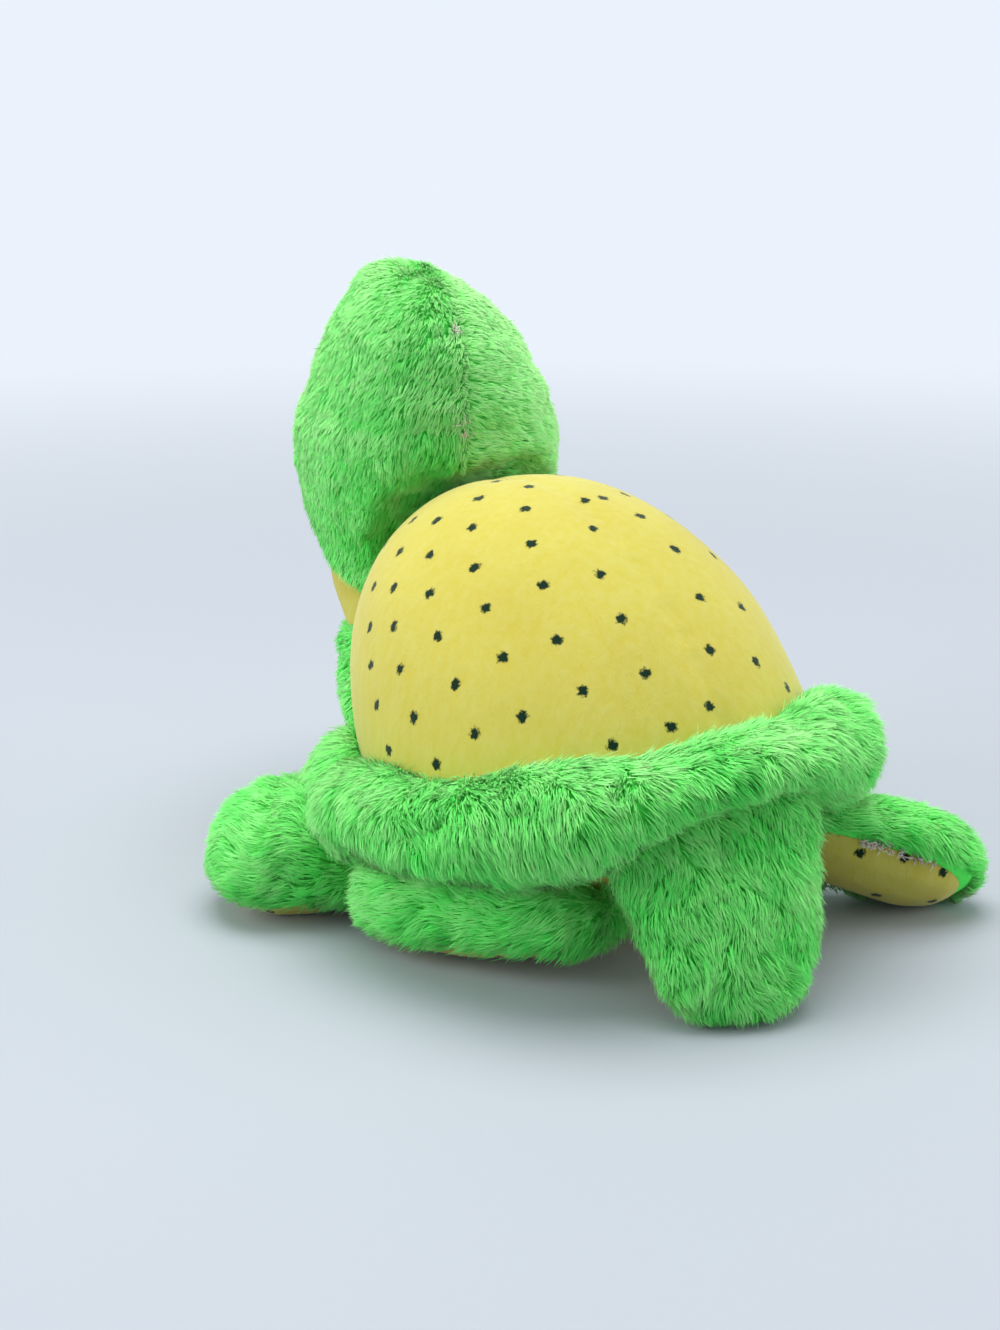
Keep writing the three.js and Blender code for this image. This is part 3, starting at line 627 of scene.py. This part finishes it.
def fibre_mesh(name, places, facing, width, owner, shift, rng, seed):
    """Spindles from root to tip, shaded mostly as the tuft that they are part of."""
    roots, middles, tips = places
    count = len(roots)
    along = unit(tips - roots)
    across = unit(np.cross(along, facing) + 1e-6)
    upright = np.cross(across, along)
    thickness = width * (LEAST_THICKNESS + THICKNESS_RANGE * rng.random((count, 1)))
    turned = rng.random(count) * 2 * np.pi
    points, shades = [roots], [facing]
    for corner in range(FIBRE_SIDES):
        angle = turned + corner * 2 * np.pi / FIBRE_SIDES
        out = across * np.cos(angle)[:, None] + upright * np.sin(angle)[:, None]
        points.append(middles + out * thickness * THICKNESS_SHARE)
        shades.append(unit(facing + FIBRE_ROUNDNESS * out))
    points = np.stack([*points, tips], axis=1)
    shades = np.stack([*shades, facing], axis=1)
    tip = FIBRE_SIDES + 1
    faces = []
    for corner in range(FIBRE_SIDES):
        here, after = 1 + corner, 1 + (corner + 1) % FIBRE_SIDES
        faces.append((0, here, after))
        faces.append((after, here, tip))
    faces = np.array(faces)
    per_fibre = points.shape[1]
    corners = (faces[None] + np.arange(count)[:, None, None] * per_fibre).reshape(-1)
    mesh = bpy.data.meshes.new(name)
    mesh.vertices.add(count * per_fibre)
    mesh.vertices.foreach_set("co", points.reshape(-1))
    mesh.loops.add(len(corners))
    mesh.loops.foreach_set("vertex_index", corners.astype(np.int32))
    mesh.polygons.add(len(corners) // 3)
    mesh.polygons.foreach_set("loop_start", np.arange(0, len(corners), 3, dtype=np.int32))
    shade = USUAL_SHADE + patches(roots, SHADE_PATCHES, seed + 5)
    shade = shade + TUFT_SHADES * rng.standard_normal(count)[owner]
    shade = shade + FIBRE_SHADES * rng.standard_normal(count)
    # shift adds the painted light: paler on fibres that face up and, where given, on a head cover
    # by its side
    shade = np.clip(shade + shift, *SHADE_LIMITS)
    heights = np.broadcast_to(np.array(MAP_HEIGHTS), (count, per_fibre))
    layout = np.stack([shade[:, None] + np.array(MAP_SPREAD), heights], axis=2)
    uv = mesh.uv_layers.new(name="OFBake")
    uv.data.foreach_set("uv", layout.reshape(-1, 2)[corners].reshape(-1))
    mesh.update()
    mesh.validate()
    mesh.polygons.foreach_set("use_smooth", np.ones(len(mesh.polygons), bool))
    mesh.normals_split_custom_set_from_vertices(shades.reshape(-1, 3))
    return mesh


def seam_threads(name, mesh, body, places, spread, length, seed):
    """Tufts of the plush's pale backing that stand out of a seam nearest to the given places."""
    points, _, _ = mesh_arrays(mesh)
    places = [points[np.linalg.norm(points - place, axis=1).argmin()] for place in places]

    def keep(centres):
        far = [np.linalg.norm(centres - place, axis=1) for place in places]
        return np.min(far, axis=0) < spread

    def comb(roots, normals):
        return unit(np.random.default_rng(seed + 9).standard_normal(roots.shape))

    pile = grown_pile(name, mesh, comb, seed, keep, per_mm2=6.0, length=length, width=0.00030,
                      lie=0.5, pull=0.1)
    add_piece(name, pile, body, backing_thread)


# Shell and belly

SKIRT_RISE = 0.25
SKIRT_TUCK = 0.04
EASE_DEPTH = 0.0005
EASE_CELL = 0.02
SEAM_DEPTH = 0.0006
SEAM_WIDTH = 0.0032
SEAM_UNEVENNESS = 0.35
SEAM_STITCH = 0.0035
# How far short of the top the right panel stops, and how far in the belly's underside closes
TOP_GAP = 0.002
BELLY_CLOSE = 0.999
SPOT_RADIUS = 0.0014
SPOT_SPACING = 0.0122
# The angles round the dome and up it between which spots are tried where the photograph shows none,
# how many of each, and how much such a place may face the camera
SPOT_TURNS = (0, 2 * math.pi, 240)
SPOT_RISES = (0.05, 1.45, 60)
SPOT_FACING_LIMIT = 0.05
DOME_MIDDLE = np.array([0, SHELL_BACK - SHELL_LEAN / 2, BRIM_HEIGHT])
# The spots that the photograph shows: the angle round the dome and the angle up it
SEEN_SPOTS = (
    (80.2, 53.1), (72.3, 40.4), (72.2, 29.9), (72.8, 18.8), (74.6, 9.0), (53.8, 50.2),
    (54.1, 39.4), (53.7, 27.2), (56.2, 16.9), (59.5, 7.2), (30.1, 57.6), (33.1, 45.4),
    (36.0, 35.3), (38.8, 24.7), (40.5, 13.3), (7.3, 61.0), (13.3, 49.8), (16.9, 39.6),
    (20.5, 29.6), (24.6, 19.8), (27.7, 10.7), (-16.7, 61.0), (-6.1, 50.7), (-0.4, 40.7),
    (3.3, 31.7), (6.5, 22.7), (10.2, 13.5), (14.9, 5.2), (107.0, 43.4), (101.2, 31.8),
    (93.8, 21.2), (86.4, 11.4), (129.7, 39.4), (117.7, 27.6), (108.2, 17.0), (140.3, 21.6),
    (118.8, 10.7), (66.0, 74.2), (55.9, 62.6), (90.9, 63.7), (102.9, 63.0), (108.1, 54.2),
    (-42.0, 74.0), (27.5, 69.8), (-2.3, 6.9), (-5.1, 15.1), (-7.6, 23.0), (-10.4, 31.1),
    (-15.1, 40.5),
)


def dome_points(turns, rises):
    """Points of the dome at an angle round it and an angle up it; below 0 its edge tucks under."""
    up = np.maximum(rises, 0)
    under = np.minimum(rises, 0) / SKIRT_RISE
    spread = np.cos(up) ** (2 / SHELL_BULGE) * (1 - SKIRT_TUCK * under ** 2)
    lift = np.sin(up) ** (2 / SHELL_BULGE)
    x = SHELL_HALF_WIDTH * spread * np.cos(turns)
    y = SHELL_HALF_LENGTH * spread * np.sin(turns)
    z = DOME_RISE * lift + under * (DOME_START - BRIM_HEIGHT)
    ease = EASE_DEPTH * mottle(np.stack([x, y, z], axis=1), EASE_CELL, 8)
    seam = SEAM_DEPTH * np.exp(-((x - SHELL_SEAM_SIDE) / SEAM_WIDTH) ** 2)
    along_seam = np.stack([x * 0, y, z], axis=1)
    seam = seam * (1 + SEAM_UNEVENNESS * mottle(along_seam, SEAM_STITCH, 9))
    scale = 1 + (ease - seam) / SHELL_HALF_WIDTH
    return pitched(np.stack([x, y * scale + SHELL_BACK - SHELL_LEAN * lift,
                             z * scale + DOME_START], axis=1))


def grid_mesh(name, points, columns, rows, closed=False):
    """A sheet of quads through columns x rows of points."""
    faces = []
    for row in range(rows - 1):
        for column in range(columns if closed else columns - 1):
            here, after = row * columns + column, row * columns + (column + 1) % columns
            faces.append((here, after, after + columns, here + columns))
    mesh = bpy.data.meshes.new(name)
    mesh.from_pydata([tuple(point) for point in points], [], faces)
    mesh.update()
    return mesh


def spread_spots(points, taken, seed):
    """Spots set out evenly over the points, as far apart as the cloth's print has them."""
    chosen = [Vector(place) for place in taken]
    rng = np.random.default_rng(seed)
    for number in rng.permutation(len(points)):
        place = Vector(points[number])
        if all((place - other).length > SPOT_SPACING for other in chosen):
            chosen.append(place)
    return chosen


def spotted(mesh, centres):
    """Writes how near each point is to a printed spot: 1 at its middle, and 0 two radii away."""
    points, _, _ = mesh_arrays(mesh)
    finder = finder_of(centres)
    far = np.array([finder.find(point)[2] for point in points])
    near = np.clip(1 - far / (2 * SPOT_RADIUS), 0, 1).astype(np.float32)
    mesh.attributes.new("spot", "FLOAT", "POINT").data.foreach_set("value", near)


def dome_spots():
    """The spots that the photograph shows, and others over the rest of the dome."""
    turns, rises = np.radians(np.array(SEEN_SPOTS)).T
    seen = dome_points(turns, rises)
    turns, rises = np.meshgrid(np.linspace(*SPOT_TURNS, endpoint=False), np.linspace(*SPOT_RISES))
    places = dome_points(turns.ravel(), rises.ravel())
    halves = np.array([SHELL_HALF_WIDTH, SHELL_HALF_LENGTH, SHELL_HEIGHT])
    outward = unit((places - DOME_MIDDLE) / halves ** 2)
    return spread_spots(places[outward @ TO_CAMERA < SPOT_FACING_LIMIT], seen, 4)


def shell_panel(name, node, left, spots):
    """Half of the dome, from its seam round to its seam on the other side."""
    columns, rows = 280, 180
    top = math.pi / 2 - TOP_GAP
    if left:
        top = math.acos((SHELL_SEAM_SIDE / SHELL_HALF_WIDTH) ** (SHELL_BULGE / 2))
    rises = np.linspace(-SKIRT_RISE, top, rows)[:, None]
    width = SHELL_HALF_WIDTH * np.cos(np.maximum(rises, 0)) ** (2 / SHELL_BULGE)
    edge = np.arccos(np.clip(SHELL_SEAM_SIDE / width, -1, 1))
    shares = np.linspace(0, 1, columns)[None]
    turns = lerp(-edge, edge, shares) if left else lerp(edge, 2 * math.pi - edge, shares)
    rises = np.broadcast_to(rises, turns.shape)
    mesh = grid_mesh(name, dome_points(turns.ravel(), rises.ravel()), columns, rows)
    spotted(mesh, spots)
    panel = add_piece(name, mesh, "body", spotted_velour, (node,))


def belly_points(turns, drops):
    """Points of the belly at an angle round it and an angle down it, then in over the table."""
    down = np.clip(drops, 0, math.pi / 2)
    middle = 1 - np.maximum(drops - math.pi / 2, 0)
    depth = np.sin(down) ** (2 / BELLY_BULGE)
    out = np.cos(down) ** (2 / BELLY_BULGE)
    half_width = lerp(BELLY_REST_HALF_WIDTH, SHELL_HALF_WIDTH * BELLY_EDGE_SHARE, out)
    half_length = lerp(BELLY_REST_HALF_LENGTH, SHELL_HALF_LENGTH * BELLY_EDGE_SHARE, out)
    x = half_width * np.cos(turns) * middle
    y = half_length * np.sin(turns) * middle + lerp(SHELL_BACK, -BELLY_REST_FORWARD, depth)
    points = np.stack([x, y, BRIM_HEIGHT * (1 - depth)], axis=1)
    return pitched(points, 1 - depth)


def add_belly():
    columns, rows = 220, 110
    turns, drops = np.meshgrid(np.linspace(0, 2 * math.pi, columns, endpoint=False),
                               np.linspace(0, math.pi / 2 + BELLY_CLOSE, rows))
    points = belly_points(turns.ravel(), drops.ravel())
    points[:, 2] = np.maximum(points[:, 2], SKIN_OVER_TABLE)
    mesh = grid_mesh("belly", points, columns, rows, closed=True)
    spotted(mesh, spread_spots(points[::3], (), 6))
    belly = add_piece("belly", mesh, "body", spotted_velour,
                      ("belly_panel", "body_stuffing"))
    return mesh


DOME_SPOTS = dome_spots()
shell_panel("shell_left", "shell_panel_left", True, DOME_SPOTS)
shell_panel("shell_right", "shell_panel_right", False, DOME_SPOTS)
belly_mesh = add_belly()


# Brim

# How much its fibres fall outwards, down, and round the turtle towards its back
BRIM_OUTWARD = 0.5
BRIM_DOWNWARD = -0.8
BRIM_ROUND = 0.5
BRIM_PILE_PIECES = 6
# How far its underside is lifted where the tail hangs from it and how fast that fades towards the
# front, how far its underside rises everywhere and how far its top sinks at the front and the sides
BRIM_LIFT = 0.015
BRIM_LIFT_FADE = 7
BRIM_SAG = 0.003
BRIM_SLUMP = 0.005
# The heights and sizes of its lumps, and how much it is drawn in on the right of the photograph
BRIM_UNEVENNESS = ((0.0018, 0.025), (0.00054, 0.009))
BRIM_TUCK = 0.0026
# Fuller places of the brim: where they are, how far they stand out and how wide they are
BRIM_LUMPS = (((0.048, -0.041, 0.045), 0.0065, 0.014), ((-0.043, 0.064, 0.062), 0.0048, 0.019))


def brim_comb(roots, normals):
    """The way that the brim's fibres fall."""
    level = pitched(roots, -1.0)
    out = unit(np.stack([level[:, 0], level[:, 1] - SHELL_BACK, np.zeros(len(level))], axis=1))
    round_way = np.stack([-out[:, 1], out[:, 0], out[:, 2]], axis=1)
    return out * BRIM_OUTWARD + np.array([0, 0, BRIM_DOWNWARD]) + round_way * BRIM_ROUND


def brim_part(number):
    """Whether points lie outside the dome and in the numbered part of the way round it."""
    def keep(centres):
        _, side, back, _ = dome_place(centres)
        turns = (np.arctan2(back, side) + math.pi) / (2 * math.pi)
        part = (turns * BRIM_PILE_PIECES).astype(int).clip(0, BRIM_PILE_PIECES - 1)
        return (np.hypot(side, back) > 1.0) & (part == number)
    return keep


def rested_brim(points, normals):
    """The brim as its stuffing lies: lumpy, and with its underside lifted over the tail."""
    level = pitched(points, -1.0)
    halves = np.array([SHELL_HALF_WIDTH, SHELL_HALF_LENGTH])
    around = (level[:, :2] - np.array([0, SHELL_BACK])) / halves
    backward = np.maximum(around[:, 1] / np.linalg.norm(around, axis=1), 0)
    below = (BRIM_HEIGHT + BRIM_HALF_HEIGHT - level[:, 2]) / (2 * BRIM_HALF_HEIGHT)
    below = np.clip(below, 0, 1)
    level[:, 2] += (BRIM_LIFT * backward ** BRIM_LIFT_FADE + BRIM_SAG) * below
    level[:, 2] -= BRIM_SLUMP * (1 - backward ** 2) * (1 - below)
    to_right = np.maximum(normals @ SCREEN_RIGHT, 0)
    push = patches(points, BRIM_UNEVENNESS, 77) - BRIM_TUCK * to_right
    for place, rise, reach in BRIM_LUMPS:
        far = np.linalg.norm(points - np.array(place), axis=1)
        push = push + rise * np.exp(-(far / reach) ** 2)
    return pitched(level) + normals * push[:, None]


def add_brim():
    solid = stuffed_solid(["brim_cover", "brim_stuffing"])
    fluffed(solid, everywhere, 520)
    mesh = finished_mesh(solid, "brim")
    points, _, normals = mesh_arrays(mesh)
    set_points(mesh, rested_brim(points, normals))
    brim = add_piece("brim", mesh, "body", plush_ground,
                     ("brim_cover", "brim_stuffing"))
    for number in range(BRIM_PILE_PIECES):
        pile = grown_pile(f"brim_pile_{number + 1}", mesh, brim_comb, 100 + number,
                          brim_part(number), per_mm2=4.0, length=0.0064, width=0.00028, lie=1.35,
                          pull=0.3, tuft=0.0032, clear=clear_of_shell)
        add_piece(pile.name, pile, "body", plush_fibre)
    return mesh


def surface_tree(mesh):
    return BVHTree.FromPolygons([vert.co for vert in mesh.vertices],
                                [tuple(face.vertices) for face in mesh.polygons])


# What the pile of the limbs and neck keeps clear of, and by how much
BRIM_TREE = surface_tree(add_brim())
BELLY_TREE = surface_tree(belly_mesh)
BODY_CLEARANCE = 0.0016


def off_body(centres):
    """Which points stand clear of the belly and the brim."""
    clear = []
    for centre in centres:
        place, normal, _, far = BRIM_TREE.find_nearest(centre)
        outside = far > BODY_CLEARANCE and (Vector(centre) - place).dot(normal) > 0
        clear.append(outside and BELLY_TREE.find_nearest(centre)[3] > BODY_CLEARANCE)
    return np.array(clear)


# Limbs

# How much the fibres of a limb fall on their way to its tip
LIMB_FALL = -0.35
# How far over its seam the pile starts, and how far below it the sole's spots do
PILE_OVER_SEAM = 0.0004
SPOTS_BELOW_SEAM = 0.002
# The share of the sole's points that lie below its seam, which is rounded over
SOLE_PERCENTILE = 99.5
# The pale threads of the right hind leg: how far below its seam they are and how far from that
# line, between which shares of its length, how much they face the camera, and how many
THREADS_BELOW_SEAM = 0.0012
THREADS_OFF_LINE = 0.0006
THREADS_ALONG = (0.45, 0.9)
THREADS_FACING = 0.1
LEG_THREADS = 12


def limb_axes(angles):
    """A limb's own directions, one to a row: to its tip, across it, and out of its upper side."""
    heading, slope, roll = (math.radians(angle) for angle in angles)
    turn = Matrix.Rotation(heading, 3, "Z") @ Matrix.Rotation(slope, 3, "Y")
    return np.array(turn @ Matrix.Rotation(roll, 3, "X")).T


def rested(points, limb):
    """Points of a packed limb where they lie once the limb is stuffed and at rest."""
    own = (points - np.array(limb.root)) @ limb_axes(limb.packed).T
    share = np.clip(own[:, :1] / own[:, 0].max(), 0, 1)
    own = own * np.hstack([np.full_like(share, limb.longer),
                           lerp(limb.wider, limb.tip_wider, share),
                           lerp(limb.thicker, limb.tip_thicker, share)])
    placed = own @ limb_axes(limb.rest) + np.array(limb.root) + np.array(limb.moved)
    placed[:, 2] = np.maximum(placed[:, 2], SKIN_OVER_TABLE)
    return placed


def limb_halves(name, limb, seed):
    """The meshes of a limb's upper and of its sole, cut along its seam and laid to rest."""
    upward = limb_axes(limb.packed)[2]
    cover_points, _, _ = mesh_arrays(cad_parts[f"{name}_cover"].data)
    seam = (cover_points @ upward).min() - SEAM_GAP / 2
    solid = stuffed_solid([f"{name}_cover", f"{name}_sole", f"{name}_stuffing"])
    fluffed(solid, lambda points: np.clip((points @ upward - seam) / FLUFF_FADE, 0, 1), seed)
    point, normal = Vector(upward * seam), Vector(upward)
    upper = finished_mesh(cut_half(solid, point, normal), f"{name}_upper")
    sole = finished_mesh(cut_half(solid, point, -normal), f"{name}_sole_skin")
    solid.free()
    for part in (upper, sole):
        set_points(part, rested(mesh_arrays(part)[0], limb))
    return upper, sole


def add_limb(name, limb, number):
    upper, sole = limb_halves(name, limb, 500 + number)
    along, _, upward = limb_axes(limb.rest)
    sole_points, _, sole_normals = mesh_arrays(sole)
    seam = np.percentile(sole_points @ upward, SOLE_PERCENTILE)
    below = sole_points[sole_points @ upward < seam - SPOTS_BELOW_SEAM]
    spotted(sole, spread_spots(below, (), 20 + number))
    add_piece(f"{name}_upper", upper, name, plush_ground,
                        (f"{name}_cover", f"{name}_stuffing"))
    add_piece(f"{name}_sole_skin", sole, name, spotted_velour,
                        (f"{name}_sole",))

    def comb(roots, normals):
        return np.broadcast_to(along + np.array([0, 0, LIMB_FALL]), roots.shape)

    def keep(centres):
        return (centres @ upward > seam + PILE_OVER_SEAM) & off_body(centres)

    pile = grown_pile(f"{name}_pile", upper, comb, 200 + 10 * number, keep, per_mm2=4.0,
                      length=0.0058, width=0.00028, lie=1.1, ruffle=1.25)
    add_piece(pile.name, pile, name, plush_fibre)
    if name == "hind_right_leg":
        off_line = np.abs(sole_points @ upward - seam + THREADS_BELOW_SEAM)
        lengthways = sole_points @ along
        share = (lengthways - lengthways.min()) / np.ptp(lengthways)
        line = sole_points[(off_line < THREADS_OFF_LINE)
                           & (sole_normals @ TO_CAMERA > THREADS_FACING)
                           & (share > THREADS_ALONG[0]) & (share < THREADS_ALONG[1])]
        chosen = np.random.default_rng(61).choice(len(line), LEG_THREADS, replace=False)
        seam_threads("hind_right_leg_seam_threads", sole, name, line[chosen], 0.0012, 0.0030, 260)


for limb_number, (limb_name, limb_values) in enumerate(LIMBS.items()):
    add_limb(limb_name, limb_values, limb_number)


# Neck

NECK_FALL = (0, -0.3, -1.0)


def add_neck():
    solid = stuffed_solid(["neck_cover", "neck_stuffing"])
    fluffed(solid, everywhere, 530)
    mesh = finished_mesh(solid, "neck")
    neck = add_piece("neck", mesh, None, plush_ground,
                     ("neck_cover", "neck_stuffing"))
    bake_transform(neck)

    def comb(roots, normals):
        return np.broadcast_to(np.array(NECK_FALL), roots.shape)

    pile = grown_pile("neck_pile", mesh, comb, 300, off_body, length=0.0036, clear=clear_of_shell)
    pile_piece = add_piece("neck_pile", pile, None, plush_fibre)
    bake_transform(pile_piece)


add_neck()


# Head

# The heights between which each cover's pile is one piece
HEAD_PILE_BANDS = (0, 0.103, 0.130, 1)
# For each cover: which side it is on, how much its fibres fall outwards and down, how flat they lie
# and how much paler they are painted, as painted light that lightens the right cover more than the
# left
HEAD_SIDES = {
    "left": (1, 0.3, -0.8, 1.1, 0.2),
    "right": (-1, 1.0, -0.25, 1.3, 0.65),
}
# How much paler the fibres by the seam are, and how far from it that fades
SEAM_PALENESS = 0.45
SEAM_PALE_REACH = 0.0025
# Where backing threads show through the seam up the back of the head
HEAD_THREADS = np.array([(0.0072, -0.0529, 0.158), (0.0063, -0.0466, 0.132),
                         (0.0063, -0.0463, 0.128)])


def add_head_cover(name, crown, seam, side, keep):
    """One of the two covers of the head, and its pile in bands."""
    way, outward, downward, lie, painted_side_light = HEAD_SIDES[name]
    half = finished_mesh(cut_half(crown, seam, side * way), f"head_{name}")
    cover = add_piece(f"head_{name}", half, "head", plush_ground,
                      (f"head_cover_{name}",))
    out_way = np.array(side)
    lying = out_way * way * outward + np.array([0, 0, downward])

    def comb(roots, normals):
        return np.broadcast_to(lying, roots.shape)

    # Painted light over the whole cover by its side, plus paler fibres by the seam
    def paler(roots):
        from_seam = (roots - np.array(seam)) @ out_way
        return SEAM_PALENESS * np.exp(-(from_seam / SEAM_PALE_REACH) ** 2) + painted_side_light

    for band, (low, high) in enumerate(zip(HEAD_PILE_BANDS, HEAD_PILE_BANDS[1:])):
        def keep_band(centres):
            return keep(centres) & (centres[:, 2] >= low) & (centres[:, 2] < high)

        pile = grown_pile(f"head_{name}_pile_{band + 1}", half, comb, 400 + 10 * way + band,
                          keep_band, per_mm2=4.2, length=0.0036, width=0.00028, lie=lie,
                          tuft=0.0024, pull=0.25, ruffle=0.5, clear=clear_of_shell, paler=paler)
        add_piece(pile.name, pile, "head", plush_fibre)
    if name == "left":
        seam_threads("head_seam_threads", half, "head", HEAD_THREADS, 0.0009, 0.0045, 440)


def add_head():
    place = Matrix.Translation(HEAD_AXIS) @ Matrix.Rotation(HEAD_TURN, 4, "Z")
    turn = place.to_3x3()
    side = turn @ Vector((1, 0, 0))
    upward = turn @ (Matrix.Rotation(-CHIN_SLOPE, 3, "X") @ Vector((0, 0, 1)))
    seam = place @ Vector((HEAD_SEAM_SIDE, 0, 0))
    chin_seam = place @ CHIN_SEAM

    def over_chin(points):
        return (points - np.array(chin_seam)) @ np.array(upward)

    solid = stuffed_solid(["head_cover_left", "head_cover_right", "chin_panel", "head_stuffing"])
    fluffed(solid, lambda points: np.clip(over_chin(points) / FLUFF_FADE, 0, 1), 540,
            depth=HEAD_FLUFF_DEPTH)
    crown = cut_half(solid, chin_seam, upward)
    chin = finished_mesh(cut_half(solid, chin_seam, -upward), "chin")
    solid.free()
    add_piece("chin", chin, "head", plain_velour,
                        ("chin_panel", "head_stuffing"))
    eyes = [sum((Vector(corner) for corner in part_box(name)), Vector()) / 2
            for name in ("eye_left", "eye_right")]

    def keep(centres):
        far = np.min([np.linalg.norm(centres - np.array(eye), axis=1) for eye in eyes], axis=0)
        return (over_chin(centres) > PILE_OVER_SEAM) & (far > EYE_KEEP_CLEAR)

    for name in HEAD_SIDES:
        add_head_cover(name, crown, seam, side, keep)
    crown.free()


add_head()


# Eyes

def finish_eyes():
    black = plain_finish("eye_gloss", (0.006, 0.006, 0.007), 0.12, 1.0)
    white = plain_finish("washer_moulded", (0.74, 0.73, 0.68), 0.5, 0.0)
    for node, material in (("eye_left", black), ("eye_right", black),
                           ("eye_washer_left", white), ("eye_washer_right", white)):
        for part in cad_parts[node].material_slots:
            part.material = material


finish_eyes()


# Tabletop, room and light

ROOM_COLOUR = (0.83, 0.89, 0.98)
FILL_COLOUR = (0.88, 0.93, 1.0)
FILL_STRENGTH = 0.58
TABLE_COLOUR = (0.40, 0.43, 0.466)
TABLE_REACH = 6
# How far under the turtle the table lies, so that no skin shares its plane
TABLE_DROP = 0.0002
# The distances between which the table fades into the room
FADE_START = 0.28
FADE_END = 1.1
LIGHT_AIM = Vector((0, 0, 0.05))


def backdrop_rays(nodes, links):
    """Which rays see a plain backdrop: the camera's, and those that reflect it."""
    rays = nodes.new("ShaderNodeLightPath").outputs
    return joined(nodes, links, "MAXIMUM", rays["Is Camera Ray"], rays["Is Glossy Ray"])


def tabletop():
    """A pale table that fades into the room's colour with distance."""
    material, shader, nodes, links = shaded("tabletop", {
        "Base Color": (*TABLE_COLOUR, 1), "Roughness": 0.55, "Specular IOR Level": 0.2})
    room = nodes.new("ShaderNodeEmission")
    room.inputs["Color"].default_value = (*ROOM_COLOUR, 1)
    place = nodes.new("ShaderNodeNewGeometry")
    distance = nodes.new("ShaderNodeVectorMath")
    distance.operation = "LENGTH"
    links.new(place.outputs["Position"], distance.inputs[0])
    fade = ranged(nodes, links, distance.outputs["Value"], FADE_START, FADE_END, "SMOOTHSTEP")
    mix = nodes.new("ShaderNodeMixShader")
    links.new(joined(nodes, links, "MULTIPLY", fade, backdrop_rays(nodes, links)), mix.inputs[0])
    links.new(shader.outputs["BSDF"], mix.inputs[1])
    links.new(room.outputs["Emission"], mix.inputs[2])
    links.new(mix.outputs[0], nodes["Material Output"].inputs["Surface"])
    return material


def add_stage():
    mesh = bpy.data.meshes.new("table")
    corners = [(-1, -1, 0), (1, -1, 0), (1, 1, 0), (-1, 1, 0)]
    mesh.from_pydata([Vector(corner) * TABLE_REACH for corner in corners], [], [(0, 1, 2, 3)])
    table = bpy.data.objects.new("table", mesh)
    bpy.context.scene.collection.objects.link(table)
    table.location.z = -TABLE_DROP
    mesh.materials.append(tabletop())


def add_light(name, place, size, watts):
    lamp = bpy.data.lights.new(name, "AREA")
    lamp.size = size
    lamp.energy = watts
    light = bpy.data.objects.new(name, lamp)
    light.location = place
    light.rotation_euler = (Vector(place) - LIGHT_AIM).to_track_quat("Z", "Y").to_euler()
    bpy.context.scene.collection.objects.link(light)


def add_room():
    """Soft light from all round, and the room's colour where the camera looks past the table."""
    world = bpy.data.worlds.new("room")
    bpy.context.scene.world = world
    world.use_nodes = True
    nodes, links = nodes_of(world.node_tree)
    lit = nodes.new("ShaderNodeBackground")
    lit.inputs["Color"].default_value = (*FILL_COLOUR, 1)
    lit.inputs["Strength"].default_value = FILL_STRENGTH
    seen = nodes.new("ShaderNodeBackground")
    seen.inputs["Color"].default_value = (*ROOM_COLOUR, 1)
    mix = nodes.new("ShaderNodeMixShader")
    output = nodes.new("ShaderNodeOutputWorld")
    links.new(backdrop_rays(nodes, links), mix.inputs[0])
    links.new(lit.outputs[0], mix.inputs[1])
    links.new(seen.outputs[0], mix.inputs[2])
    links.new(mix.outputs[0], output.inputs["Surface"])


add_stage()
add_light("overhead", (-0.05, -0.1, 1.2), 1.0, 15.5)
add_light("right_side", (-0.9, 0.65, 0.4), 0.8, 5)
add_light("left_side", (1.0, -0.35, 0.5), 0.8, 8)
add_room()
bpy.context.scene.view_settings.view_transform = "Standard"
